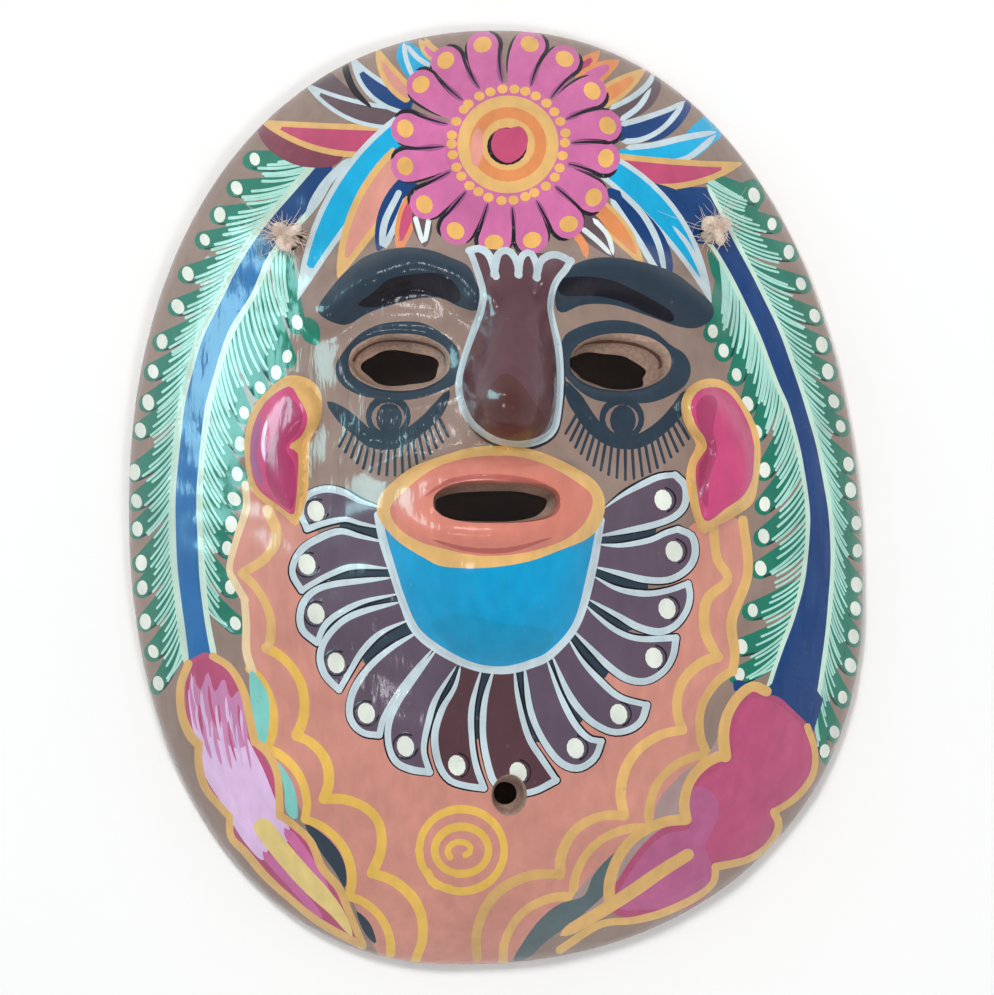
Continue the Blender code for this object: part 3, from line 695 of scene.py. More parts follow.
def feathers(painting, rib, dots, back, pitch, width, beyond):
    """Green tongues off a rib, with mint teeth all along it and a cream dot on each tongue."""
    line = evenly(smooth_curve(rib, 8), 1.0)
    ahead = np.gradient(line, axis=0)
    lead = line[0] - ahead[0] * np.arange(back[0] + 30, 0, -1)[:, None]
    line = np.vstack([lead, line])
    ahead = np.vstack([np.repeat(ahead[:1], len(lead), axis=0), ahead])
    dots = np.array(dots, float)
    near = np.array([np.argmin(np.hypot(*(line - dot).T)) for dot in dots])
    outward = dots - line[near]
    outward /= np.hypot(*outward.T)[:, None]
    roots = np.maximum(near - np.linspace(*back, len(dots)).astype(int), TONGUE_HALF_ROOT)
    for dot, root, out, on in zip(dots, roots, outward, ahead[near]):
        tip = dot + beyond * (0.6 * on + 0.4 * out)
        cap = tip + TONGUE_TIP_RADIUS * (np.cos(TONGUE_TIP_TURNS) * out + np.sin(TONGUE_TIP_TURNS) * on)
        high, low = line[root - TONGUE_HALF_ROOT], line[min(root + TONGUE_HALF_ROOT, len(line) - 1)]
        upper = bezier(high, high + 0.5 * (cap[0] - high) + 3 * on, cap[0], 8)
        lower = bezier(cap[-1], low + 0.45 * (cap[-1] - low) + 4 * on, low, 8)
        painting.shape("green", np.vstack([upper[:-1], cap, lower[1:]]))
        painting.stroke("deep_green", np.vstack([cap[-2:], lower[1:4]]) - 0.6 * on, 2.4, ends=(4, 10))
    ends = dots - outward * TONGUE_TIP_RADIUS + ahead[near] * 3
    count = int((roots[-1] - roots[0] + 2 * TEETH_BEYOND) / pitch)
    first, last = roots[0] - TEETH_BEYOND, min(roots[-1] + TEETH_BEYOND, len(line) - 1)
    for place in np.linspace(first, last, count).astype(int):
        share = np.interp(place, roots, np.arange(len(roots)))
        slot = min(int(share), len(dots) - 2)
        end = ends[slot] + (ends[slot + 1] - ends[slot]) * (share - slot)
        gap = min(abs(place - roots).min() / TEETH_GAP, 1)
        root = line[place]
        end = root + (end - root) * (1 - TEETH_GAP_SHARE * gap + painting.draw.normal(0, 0.025))
        end = end + painting.draw.normal(0, 0.8, 2)
        middle = root + 0.4 * (end - root) + ahead[place] * TOOTH_BEND * np.hypot(*(end - root))
        painting.stroke("mint", bezier(root, middle, end, 5), width * (1.15 - 0.35 * place / len(line)))
    for dot in dots:
        size = painting.draw.uniform(0.85, 1.1)
        turn = DOT_TURN + painting.draw.normal(0, 12)
        painting.oval("cream", dot, (DOT_SIZE[0] * size, DOT_SIZE[1] * size), turn)


def rib_line(edge, side, width):
    """The middle of the rib that runs along one edge of a stem."""
    line = smooth_curve(edge, 5)
    return (line + normals(line) * (side * width / 2))[::5]


def paint_stems(painting):
    """The two blue stems with their mint ribs and green feathers."""
    paint_rows(painting, STEM_TIPS)
    for edge, side, dots, back, pitch, width, beyond, rib_width in STEM_SIDES:
        feathers(painting, rib_line(edge, side, rib_width), dots, back, pitch, width, beyond)
    painting.area("stem", between(LEFT_STEM_LEFT, LEFT_STEM_RIGHT, 5))
    painting.area("navy", between(RIGHT_STEM_LEFT, RIGHT_STEM_RIGHT, 5))
    painting.fill("navy", STEM_BEND)
    for edge, side, dots, back, pitch, width, beyond, rib_width in STEM_SIDES:
        painting.stroke("rib", rib_line(edge, side, rib_width), rib_width, ends=(8, 12))


# The leaves and streamers that fan out from behind the flower
LEAVES = [
    (FILL, "wine", [
        (256, 108), (268, 122), (300, 140), (342, 150), (334, 166), (300, 166), (270, 150), (256, 128),
    ]),
    (LEAF, "rose", (396, 140), (257, 118), 34, -9, "yellow", 6),
    (FILL, "taupe", [(304, 80), (324, 67), (338, 78), (358, 98), (330, 92)]),
    (LEAF, "taupe", (408, 118), (303, 80), 25, -11, "light", 4.2),
    (STROKE, "black", [(343, 54), (347, 74), (356, 92), (372, 108)], 7, (12, 20)),
    (LEAF, "navy", (412, 106), (350, 52), 24, -10, "light", 4.5),
    (LEAF, "salmon", (412, 97), (376, 43), 20, -6, "yellow", 5),
    (FILL, "cyan", [(404, 38), (396, 52), (400, 66), (414, 80), (435, 68), (424, 52)]),
    (STROKE, "light", [(403, 39), (406, 58), (414, 79)], 5, (6, 8)),
    (STROKE, "light", [(405, 42), (418, 57), (434, 67)], 5, (6, 8)),
    (LEAF, "magenta", (440, 58), (418, 36), 14, -2, "yellow", 3.5),
    (STROKE, "yellow", [(424, 35), (431, 45), (443, 53)], 6, (4, 10)),
    (LEAF, "cyan", (410, 126), (298, 302), 41, 14, "light", 5.5),
    (STROKE, "light", [(352, 158), (326, 184), (305, 220)], 9, (10, 20)),
    (LEAF, "salmon", (406, 158), (338, 281), 40, 6, "yellow", 7),
    (LEAF, "navy", (416, 184), (378, 254), 34, 4),
    (STROKE, "light", [(399, 194), (385, 224), (384, 248), (395, 228), (406, 202)], 6.5),
    (LEAF, "rose", (414, 200), (399, 258), 20, 2, "orange", 4.5),
    (LEAF, "taupe", (421, 212), (426, 250), 20),
    (STROKE, "white", [(416, 220), (424, 244), (429, 222)], 5),
    (LEAF, "rose", (574, 72), (601, 48), 17, 1, "orange", 4.5),
    (LEAF, "magenta", (580, 84), (621, 58), 22, -1, "orange", 4.5),
    (LEAF, "orange", (596, 102), (647, 66), 22, 1, "yellow", 4.5),
    (FILL, "taupe", [
        (610, 112), (633, 100), (651, 84), (656, 71), (662, 82), (657, 98), (644, 112), (622, 121),
    ]),
    (STROKE, "light", [(609, 109), (633, 96), (649, 82), (655, 69)], 5.5, (4, 10)),
    (STROKE, "light", [(619, 121), (639, 106), (652, 86)], 5.5, (4, 12)),
    (FILL, "navy", [
        (616, 128), (643, 121), (670, 110), (689, 97), (691, 108), (676, 129), (655, 141), (620, 141),
    ]),
    (STROKE, "light", [(619, 125), (643, 118), (670, 108), (687, 99)], 5.5, (4, 10)),
    (STROKE, "light", [(621, 142), (643, 139), (665, 126), (685, 102)], 5.5, (4, 12)),
    (FILL, "cyan", [(684, 136), (706, 114), (716, 119), (724, 131), (712, 144), (694, 158), (686, 150)]),
    (FILL, "cyan", [
        (620, 150), (653, 147), (684, 138), (719, 131), (702, 148), (684, 160), (653, 163), (622, 158),
    ]),
    (STROKE, "light", [(625, 148), (653, 145), (684, 137), (718, 130)], 6, (4, 12)),
    (STROKE, "light", [(624, 160), (653, 164), (684, 159), (702, 147), (717, 133)], 6, (4, 12)),
    (LEAF, "rose", (612, 167), (745, 161), 33, 10, "yellow", 6),
    (FILL, "navy", [
        (646, 184), (668, 187), (688, 197), (704, 214), (707, 238), (698, 244), (680, 222), (660, 204),
    ]),
    (LEAF, "cyan", (606, 166), (711, 306), 32, -16, "light", 5),
    (STROKE, "light", [(672, 226), (688, 246), (700, 270), (707, 294)], 5, (14, 8)),
    (FILL, "navy", [
        (606, 192), (624, 194), (650, 218), (664, 237), (672, 260), (669, 280), (655, 270), (632, 234),
    ]),
    (STROKE, "light", [(610, 199), (635, 236), (655, 270), (664, 278)], 6, (6, 8)),
    (STROKE, "light", [(620, 192), (643, 216), (658, 245), (664, 274)], 6, (6, 8)),
    (LEAF, "orange", (590, 204), (643, 268), 24, -4, "yellow", 4),
    (LEAF, "taupe", (576, 216), (614, 260), 26, -2),
    (STROKE, "white", [(580, 228), (598, 243), (611, 257)], 5, (4, 8)),
    (STROKE, "white", [(592, 219), (607, 236), (613, 257)], 5, (4, 8)),
    (STROKE, "orange", [(574, 234), (583, 246), (586, 260)], 8, (4, 8)),
]
FLOWER = (508.0, 145.0)
PETAL_TURNS = (-14, 12, 33, 57, 79, 98, 122, 143, 166, 188, 211, 234, 258, 279, 305, 324)
PETAL_ROOT = 54
PETAL_REACH = 117
PETAL_HALF_WIDTH = 17.0
PETAL_TIP_TURNS = np.radians(np.arange(60, -61, -30))[:, None]
PETAL_DOT = (9.6, 8.2)
SLIVER_WIDTHS = (4.6, 2.8)
DISC_RADIUS = 63
BEADS = 30
BEADS_RADIUS = 56.5
BEAD_SIZE = (5.4, 4.8)
FLOWER_EYE = (("yellow", 50.5, 40), ("orange", 38.5, 32), ("yellow", 27, 24))
FLOWER_HEART = [
    (FILL, "rose", [
        (509, 129), (521, 127), (528, 139), (523, 155), (509, 164), (496, 158), (491, 145), (497, 130),
    ]),
]


def paint_flower(painting):
    """Magenta petals with dark slivers between them, round a ringed eye."""
    middle = np.array(FLOWER)
    base, half = PETAL_ROOT, PETAL_HALF_WIDTH
    share = np.linspace(0, 1, 7)[:, None]
    slivers, petals, dots = [], [], []
    for degrees in PETAL_TURNS:
        turn = math.radians(degrees)
        out = np.array([math.sin(turn), -math.cos(turn)])
        aside = np.array([-out[1], out[0]])
        lean = 7 + 5 * math.cos(turn) + painting.draw.normal(0, 1.5)
        reach = PETAL_REACH - 2.5 * out[0] - 2.5 * out[1] + painting.draw.normal(0, 1.2)
        spine = middle + out * (base + (reach - half - base) * share) + aside * lean * (share**2 - share)
        width = half * (0.56 + 0.44 * share**0.8)
        cap = spine[-1] + half * (np.cos(PETAL_TIP_TURNS) * out + np.sin(PETAL_TIP_TURNS) * aside)
        petals.append(np.vstack([spine + aside * width, cap, (spine - aside * width)[::-1]]))
        edge = np.vstack([spine[1:] + aside * (width[1:] + 0.6), spine[-1] + 1.06 * (cap[:2] - spine[-1])])
        slivers.append((edge, SLIVER_WIDTHS[0]))
        edge = np.vstack([spine[2:] - aside * (width[2:] + 0.4), spine[-1] + 1.04 * (cap[-1:] - spine[-1])])
        slivers.append((edge, SLIVER_WIDTHS[1]))
        dots.append((spine[-1] + 2.5 * out, degrees))
    for edge, width in slivers:
        painting.stroke("ink", edge, width + 1.2, ends=(24, 12))
    for petal in petals:
        painting.area("magenta", petal)
    for edge, width in slivers[::2]:
        painting.stroke("deep_magenta", edge[:-2] * 0.97 + middle * 0.03, 7, ends=(12, 26))
    for edge, width in slivers:
        painting.stroke("black", edge, width - 1.4, ends=(30, 12))
    for place, degrees in dots:
        painting.oval("amber", place, PETAL_DOT, degrees + painting.draw.normal(0, 20))
    painting.oval("magenta", middle, (DISC_RADIUS, DISC_RADIUS), count=40)
    for bead in range(BEADS):
        turn = 2 * math.pi * (bead + painting.draw.normal(0, 0.1)) / BEADS
        away = BEADS_RADIUS + painting.draw.normal(0, 0.6)
        place = middle + away * np.array([math.cos(turn), math.sin(turn)])
        painting.oval("amber", place, BEAD_SIZE, 0, 9)
    for colour, radius, count in FLOWER_EYE:
        painting.oval(colour, middle, (radius, radius * 0.98), count=count)
    painting.oval("salmon", middle + (-31, 3), (6.5, 20), 4)
    painting.oval("black", middle + (-1, 2), (20, 19), count=20)
    paint_rows(painting, FLOWER_HEART)


LEFT_BROW = [
    (319, 313), (332, 289), (353, 267), (372, 255), (402, 249), (428, 251), (451, 259), (469, 268),
    (476, 283), (481, 297), (477, 312), (459, 308), (443, 300), (424, 299), (396, 305), (369, 314),
    (345, 326),
]
LEFT_BROW_BAND = [
    (359, 306), (376, 292), (389, 281), (412, 276), (440, 275), (453, 283), (461, 295), (456, 305),
    (435, 297), (412, 300), (380, 308),
]
RIGHT_BROW = [
    (557, 282), (574, 266), (599, 259), (631, 261), (670, 272), (694, 289), (712, 306), (710, 321),
    (694, 329), (673, 326), (645, 316), (612, 306), (583, 306), (562, 314), (555, 306),
]
RIGHT_BROW_BAND = [
    (558, 282), (583, 278), (612, 282), (641, 295), (670, 312), (671, 323), (650, 316), (622, 303),
    (593, 297), (562, 297),
]
LEFT_EYE_RING = [
    (336, 370), (340, 359), (353, 342), (367, 331), (387, 324), (418, 323), (437, 331), (452, 342),
    (459, 353), (459, 369), (456, 384), (443, 391), (424, 398), (403, 401), (369, 398), (350, 391),
    (340, 382),
]
RIGHT_EYE_RING = [
    (560, 350), (566, 335), (587, 325), (611, 321), (635, 324), (655, 333), (669, 345), (684, 355),
    (690, 370), (684, 386), (663, 399), (640, 404), (600, 402), (578, 391), (562, 372),
]
# The lower edge of each painted eye, and how far down its lashes reach
PAINTED_LIDS = (
    ([(328, 402), (359, 429), (374, 441), (396, 442), (416, 431), (436, 413), (450, 391)], 474),
    ([(563, 381), (578, 406), (593, 427), (612, 440), (635, 442), (656, 431), (675, 412), (684, 391)], 478),
)
PAINTED_LID_WIDTH = 15
LASH_PITCH = 6.4
LASH_WIDTH = 3.0
LASH_FAN_RISE = 110
PAINTED_PUPILS = ((389, 417), (621, 419))
PUPIL_RADIUS = 22.5


def paint_eyes(painting):
    """Brows, the rings round the eye openings, and the painted eyes under them."""
    for brow, band in ((LEFT_BROW, LEFT_BROW_BAND), (RIGHT_BROW, RIGHT_BROW_BAND)):
        painting.fill("slate", brow)
        painting.fill("black", band)
    for lid, lowest in PAINTED_LIDS:
        lashes = evenly(smooth_curve(lid, 8), LASH_PITCH)
        middle = lashes[len(lashes) // 2]
        for root in lashes[5:-4]:
            lean = root - (middle - (0, LASH_FAN_RISE))
            lean /= np.hypot(*lean)
            reach = (lowest - middle[1]) * (1.05 - 0.3 * abs(root[0] - middle[0]) / 60)
            painting.stroke("slate", [root, root + lean * reach / 2, root + lean * reach], LASH_WIDTH)
        painting.stroke("slate", lid, PAINTED_LID_WIDTH, ends=(24, 24))
    painting.fill("slate", LEFT_EYE_RING)
    painting.fill("slate", RIGHT_EYE_RING)
    radius = PUPIL_RADIUS
    for x, y in PAINTED_PUPILS:
        painting.oval("slate", (x, y), (radius, radius * 0.98), count=20)
        painting.oval("dull_clay", (x, y + 1), (radius * 0.74, radius * 0.66), count=16)
        painting.oval("slate", (x + 1, y + 2), (radius * 0.58, radius * 0.7), count=14)


NOSE_OUTLINE = [
    (470, 252), (476, 268), (483, 293), (481, 312), (472, 337), (463, 364), (459, 389), (465, 412),
    (475, 427), (494, 440), (516, 445), (536, 442), (551, 433), (557, 417), (560, 383), (558, 349),
    (553, 326), (550, 306), (555, 285), (566, 270), (570, 262),
]
NOSE_DRIPS = [
    [(469, 252), (480, 250), (490, 258), (496, 278)],
    [(494, 276), (498, 256), (508, 252), (516, 262), (519, 277)],
    [(518, 276), (521, 259), (530, 254), (536, 266), (537, 280)],
    [(536, 279), (541, 262), (555, 256), (571, 263)],
]
NOSE = [
    (FILL, "maroon", NOSE_OUTLINE + [(555, 256), (530, 254), (508, 252), (482, 250)]),
    (FILL, "deep_maroon", [
        (505, 375), (494, 383), (484, 398), (475, 414), (480, 430), (494, 439), (516, 443), (535, 440),
        (547, 428), (541, 414), (530, 398), (519, 383),
    ]),
    # A dark line round the foot of the nose, moved down: partly dark outline, partly painted shadow
    (STROKE, "ink", np.array(NOSE_OUTLINE[6:18]) + (1.0, 2.5), 7.5, (40, 40)),
    (STROKE, "light", NOSE_OUTLINE, 6.8),
] + [(STROKE, "light", drip, 7.2) for drip in NOSE_DRIPS]
MOUTH_RING = [
    (378, 505), (382, 494), (395, 481), (416, 466), (453, 453), (478, 447), (511, 447), (539, 452),
    (569, 465), (594, 481), (604, 501), (600, 523), (587, 538), (561, 549), (527, 561), (486, 567),
    (445, 566), (428, 559), (403, 544), (388, 530), (379, 516),
]
MOUTH_LIPS = [
    (391, 508), (411, 486), (436, 468), (469, 458), (503, 456), (527, 459), (552, 468), (577, 483),
    (591, 496), (589, 513), (577, 530), (556, 543), (519, 553), (478, 555), (440, 547), (420, 541),
    (400, 528),
]
BOWL = [
    (379, 515), (384, 540), (392, 566), (403, 600), (416, 629), (440, 649), (473, 665), (503, 669),
    (530, 663), (552, 652), (577, 621), (592, 566), (600, 520), (560, 540), (490, 556), (430, 548),
]
# Beard petals: both edges of each one, from the bowl to its corner, and its dot
BEARD = [
    ([(384, 508), (361, 501), (344, 492), (326, 489), (308, 496), (302, 512), (308, 528)],
     [(384, 528), (361, 523), (346, 519), (325, 523), (308, 529)], (317, 511)),
    ([(386, 542), (361, 536), (340, 531), (316, 540), (303, 549), (295, 562), (294, 575), (303, 590)],
     [(392, 568), (355, 566), (333, 573), (312, 584), (303, 590)], (308, 564)),
    ([(393, 577), (355, 581), (333, 584), (316, 590), (305, 601), (301, 616), (304, 630), (318, 642)],
     [(400, 593), (364, 601), (338, 614), (325, 626), (318, 642)], (317, 613)),
    ([(402, 601), (366, 610), (344, 620), (327, 638), (321, 656), (326, 674), (340, 689)],
     [(412, 618), (383, 631), (364, 649), (351, 670), (340, 689)], (337, 662)),
    ([(420, 630), (392, 647), (370, 666), (355, 688), (350, 709), (354, 723), (365, 732), (380, 734)],
     [(434, 647), (411, 675), (396, 696), (384, 718), (380, 734)], (367, 712)),
    ([(438, 647), (418, 673), (401, 696), (390, 720), (389, 742), (396, 760), (411, 768), (430, 771)],
     [(457, 664), (437, 696), (429, 720), (424, 748), (430, 771)], (406, 745)),
    ([(461, 664), (455, 686), (442, 709), (435, 735), (439, 762), (449, 778), (464, 784), (484, 787)],
     [(482, 666), (472, 705), (472, 738), (476, 764), (484, 787)], (457, 764)),
    ([(494, 667), (485, 699), (483, 731), (487, 759), (495, 782), (512, 792), (534, 790), (556, 779)],
     [(514, 666), (518, 698), (528, 735), (542, 758), (556, 779)], (518, 771)),
    ([(524, 664), (530, 708), (543, 739), (560, 761), (578, 767), (594, 757), (601, 740)],
     [(546, 657), (560, 695), (574, 722), (588, 737), (601, 740)], (575, 747)),
    ([(551, 653), (568, 692), (584, 714), (598, 725), (614, 731), (630, 728), (641, 719), (646, 704)],
     [(567, 636), (581, 659), (599, 679), (619, 696), (646, 704)], (618, 713)),
    ([(570, 627), (592, 649), (609, 666), (627, 678), (646, 680), (663, 670), (672, 655), (675, 637)],
     [(584, 603), (595, 614), (616, 630), (639, 638), (675, 637)], (653, 657)),
    ([(587, 598), (616, 614), (637, 626), (658, 631), (674, 625), (685, 611), (689, 596), (687, 583)],
     [(592, 575), (616, 588), (644, 593), (667, 590), (687, 583)], (666, 608)),
    ([(593, 566), (616, 572), (644, 579), (668, 579), (686, 569), (694, 554), (691, 536), (677, 529)],
     [(597, 544), (620, 545), (648, 540), (664, 533), (677, 529)], (673, 551)),
    ([(597, 536), (628, 530), (655, 524), (674, 516), (684, 504), (684, 486), (674, 475)],
     [(602, 509), (620, 496), (640, 485), (658, 477), (674, 475)], (662, 500)),
]
BEARD_MIDDLE = (420, 560)
BEARD_DOT = (10.5, 8.6)
BEARD_ARC = 12.5
BEARD_ARC_LEFT, BEARD_ARC_RIGHT = (0.2, 5.2), (-1.4, 1.2)
BOWL_AND_LIPS = [
    (FILL, "bowl", BOWL),
    # Darker teal on the bowl's lower slope: painted shade where the bulge turns from the light
    (FILL, "deep_bowl", [
        (432, 622), (462, 612), (500, 622), (545, 628), (552, 642), (527, 656), (500, 660), (470, 655),
        (446, 642),
    ]),
    (STROKE, "light", BOWL[:13], 8),
    (FILL, "yellow", MOUTH_RING),
    (FILL, "lip", MOUTH_LIPS),
    (STROKE, "deep_lip", [(432, 539), (470, 549), (510, 549), (552, 537)], 5, (40, 40)),
    (STROKE, "deep_lip", [
        (424, 497), (447, 483), (475, 477), (510, 478), (545, 486), (561, 500),
    ], 5, (30, 30)),
]


def paint_mouth(painting):
    """The bearded mouth: grey petals edged in pale blue, a cyan bowl and salmon lips."""
    for (first, second, dot), (after, beyond, next_dot) in zip(BEARD, BEARD[1:]):
        painting.area("slate", smooth_curve(second[:3] + after[2::-1], 4))
    for first, second, dot in BEARD:
        for edge in (first, second):
            painting.stroke("black", edge, 9.4, ends=(30, None))
    for first, second, dot in BEARD:
        colour = "dusk" if BEARD_MIDDLE[0] < dot[0] < BEARD_MIDDLE[1] else "petal"
        painting.area(colour, between(first, second, 4))
        turns = np.linspace(*(BEARD_ARC_LEFT if dot[0] < BEARD_MIDDLE[0] else BEARD_ARC_RIGHT), 9)[:, None]
        arc = BEARD_ARC * np.hstack([np.cos(turns), np.sin(turns)])
        painting.stroke("black", np.array(dot) + arc, 1.8)
    for first, second, dot in BEARD:
        painting.stroke("light", first, 6.8, ends=(50, None))
        painting.stroke("light", second, 6.0, ends=(50, None))
        painting.oval("cream", dot, BEARD_DOT, 75)
    paint_rows(painting, BOWL_AND_LIPS)


LEFT_PAD = [
    (284, 378), (297, 376), (312, 381), (322, 394), (322, 418), (312, 439), (310, 448), (310, 473),
    (308, 497), (302, 515), (297, 526), (281, 512), (262, 500), (250, 484), (245, 449), (248, 424),
    (255, 406), (268, 391),
]
LEFT_PAD_PINK = [
    (290, 387), (300, 399), (308, 414), (308, 425), (302, 437), (290, 447), (299, 454), (299, 479),
    (297, 503), (294, 515), (281, 506), (261, 491), (253, 473), (251, 449), (255, 424), (268, 401),
]
RIGHT_PAD = [
    (708, 379), (727, 384), (745, 406), (757, 431), (760, 455), (757, 485), (752, 503), (738, 514),
    (720, 524), (701, 534), (694, 520), (689, 503), (685, 479), (688, 461), (695, 445), (687, 431),
    (681, 416), (681, 400), (690, 386),
]
RIGHT_PAD_PINK = [
    (700, 390), (718, 388), (733, 398), (747, 422), (753, 443), (753, 461), (751, 479), (742, 496),
    (725, 508), (704, 521), (696, 491), (695, 467), (702, 454), (708, 443), (696, 428), (690, 412),
    (691, 400),
]
CHEEKS = [
    (FILL, "yellow", LEFT_PAD),
    (FILL, "cheek", LEFT_PAD_PINK),
    (FILL, "crimson", [
        (288, 398), (303, 412), (301, 430), (287, 448), (296, 466), (296, 500), (289, 509), (272, 490),
        (267, 462), (277, 432),
    ]),
    (STROKE, "deep_magenta", [(262, 416), (256, 440), (256, 464), (264, 486)], 7, (14, 14)),
    # Pale lilac stroke on the left pad's outer side: partly paint, partly painted highlight
    (STROKE, "lilac", [(268, 420), (264, 442), (266, 462)], 4, (10, 12)),
    (FILL, "yellow", RIGHT_PAD),
    (FILL, "cheek", RIGHT_PAD_PINK),
    (FILL, "crimson", [
        (704, 396), (716, 400), (712, 430), (716, 452), (708, 480), (706, 508), (699, 494), (698, 468),
        (706, 446), (697, 426), (695, 406),
    ]),
]

# Scallops down both sides of the salmon chin, and the lines that end them at the cheeks
CHIN_LINES = [
    (SCALLOPS, "yellow", [
        (717, 656), (682, 729), (624, 815), (560, 874), (477, 960),
    ], (0.26, 0.26, 0.26, 0.27), 10),
    (SCALLOPS, "yellow", [
        (732, 670), (707, 754), (650, 828), (573, 897), (503, 964),
    ], (0.22, 0.24, 0.24, 0.24), 9),
    (SCALLOPS, "gold", [
        (415, 962), (372, 873), (324, 798), (297, 735), (267, 647),
    ], (0.27, 0.38, 0.25, 0.23), 10),
    (SCALLOPS, "gold", [
        (390, 956), (349, 897), (305, 819), (267, 748), (250, 668),
    ], (0.19, 0.22, 0.2, 0.18), 9),
    (STROKE, "yellow", [(712, 524), (716, 558), (727, 579), (706, 599), (704, 630), (717, 657)], 10),
    (STROKE, "yellow", [(742, 520), (747, 572), (731, 619), (734, 651), (732, 671)], 10),
    (STROKE, "yellow", [(269, 510), (278, 536), (266, 558), (243, 573)], 10),
    (STROKE, "yellow", [(243, 573), (259, 590), (271, 615), (271, 640), (267, 648)], 9),
    (STROKE, "pale_yellow", [(246, 484), (247, 508), (237, 540), (230, 568), (235, 581), (246, 600)], 7),
    (STROKE, "pale_yellow", [(245, 598), (247, 624), (247, 650), (253, 671)], 8),
]
SPIRAL = np.array([461.7, 849.5])
SPIRAL_RADIUS = 42.5
SPIRAL_INNER = (27, 24)
SPIRAL_CURL = (15, 11)
SPIRAL_TAIL = [(428, 872), (434, 884), (450, 888)]


def paint_spiral(painting):
    """The spiral on the chin, in two rings with a curl inside them."""
    turns = np.radians(np.arange(100, 560, 20))[:, None]
    ring = np.hstack([np.cos(turns), np.sin(turns)])
    painting.stroke("gold", SPIRAL + SPIRAL_RADIUS * ring[4:] * (1, 0.98), 8)
    painting.stroke("gold", SPIRAL_TAIL, 8)
    painting.stroke("gold", SPIRAL + ring[:19] * SPIRAL_INNER, 8)
    curl = ring[2:17] * np.linspace(1, 0.5, 15)[:, None] * SPIRAL_CURL
    painting.stroke("gold", SPIRAL + curl, 6.5)


RIGHT_BUD = [
    (752, 698), (739, 712), (733, 735), (731, 760), (711, 773), (695, 786), (688, 805), (690, 828),
    (665, 834), (644, 853), (627, 878), (614, 904), (634, 912), (678, 906), (705, 891), (712, 868),
    (741, 859), (766, 842), (774, 828), (774, 811), (796, 794), (811, 773), (812, 750), (805, 731),
    (782, 706),
]
LEFT_BUD = [
    (205, 658), (190, 668), (186, 690), (190, 718), (200, 744), (204, 770), (216, 796), (232, 817),
    (240, 840), (262, 866), (290, 893), (322, 920), (356, 942), (344, 916), (330, 888), (316, 860),
    (300, 836), (281, 820), (274, 790), (262, 764), (250, 744), (246, 716), (240, 688), (226, 666),
]
RIGHT_BUD_LINES = [
    (FILL, "mauve_clay", [
        (706, 756), (684, 771), (659, 798), (648, 830), (610, 856), (570, 905), (620, 906), (690, 830),
        (690, 790), (730, 762), (728, 720),
    ]),
    (FILL, "navy", [(733, 680), (746, 682), (735, 692)]),
    (FILL, "dull_slate", [
        (632, 841), (610, 856), (593, 876), (584, 896), (560, 904), (541, 919), (526, 939), (513, 963),
        (530, 959), (545, 944), (578, 919), (606, 893), (617, 867),
    ]),
    (STROKE, "bud", RIGHT_BUD + RIGHT_BUD[:1], 14),
    (FILL, "bud", RIGHT_BUD),
    (FILL, "pale_bud", RIGHT_BUD[5:16] + [(706, 846), (718, 818), (714, 794)]),
    (SHAPE, "navy", [(766, 688), (783, 700), (806, 722), (812, 740), (824, 700), (810, 680), (780, 676)]),
    (STROKE, "yellow", [(688, 855), (661, 872), (634, 891), (602, 912), (560, 937)], 13, (None, 14)),
    (STROKE, "yellow", [(766, 691), (752, 686), (738, 696), (727, 714), (723, 735), (725, 756)], 11),
    (SCALLOPS, "yellow", [(725, 754), (686, 819), (610, 906)], (0.22, 0.24), 11),
    (STROKE, "yellow", [(808, 727), (816, 752), (814, 776), (798, 798), (775, 813)], 7),
    (STROKE, "yellow", [(775, 813), (780, 828), (770, 847), (749, 861), (716, 868)], 8),
    (STROKE, "yellow", [
        (716, 868), (714, 884), (697, 899), (665, 914), (634, 922), (600, 926), (560, 952),
    ], 8),
]
LEFT_BUD_GROUND = [
    (STROKE, "bud", LEFT_BUD + LEFT_BUD[:1], 12),
    (FILL, "bud", LEFT_BUD),
    # Pale lilac band on the left bud: partly its paint, partly painted window reflection
    (FILL, "lilac", [
        (188, 690), (204, 704), (214, 724), (236, 712), (250, 742), (264, 770), (278, 806), (292, 838),
        (270, 846), (262, 862), (240, 838), (222, 806), (204, 776), (194, 740),
    ]),
    (FILL, "mallow", [
        (189, 694), (192, 676), (200, 690), (208, 672), (215, 692), (224, 678), (231, 698), (240, 690),
        (245, 716), (248, 742), (236, 748), (214, 738), (196, 730),
    ]),
]
LEFT_BUD_STREAKS = 22
LEFT_BUD_LINES = [
    (STROKE, "magenta", [(284, 828), (306, 858), (330, 902)], 11, (10, 16)),
    (STROKE, "magenta", [(262, 852), (290, 884), (322, 920)], 9, (10, 16)),
    (FILL, "teal", [(250, 672), (263, 683), (270, 701), (269, 729), (265, 744), (255, 731)]),
    (FILL, "teal", [(276, 760), (290, 777), (297, 798), (297, 819), (286, 811), (284, 786)]),
    (FILL, "slate", [(305, 824), (324, 834), (339, 851), (346, 870), (345, 889), (335, 872), (320, 851)]),
    (FILL, "slate", [(356, 912), (370, 925), (376, 946), (364, 934)]),
    (STROKE, "straw", [(263, 828), (280, 850), (304, 878), (334, 910), (352, 938)], 19, (None, 60)),
    (STROKE, "yellow", [(188, 664), (180, 687), (181, 714), (189, 735), (198, 745)], 9),
    (STROKE, "yellow", [(198, 744), (198, 765), (204, 788), (217, 805), (229, 818)], 8),
    (STROKE, "yellow", [
        (229, 817), (230, 838), (244, 853), (265, 878), (290, 901), (320, 925), (362, 948),
    ], 8),
    (STROKE, "yellow", [(213, 656), (231, 668), (244, 691), (250, 718), (255, 742)], 8),
    (STROKE, "yellow", [(255, 741), (269, 754), (278, 777), (280, 816)], 8),
    (STROKE, "yellow", [
        (280, 815), (295, 826), (311, 842), (322, 868), (339, 889), (349, 914), (362, 946),
    ], 8),
]


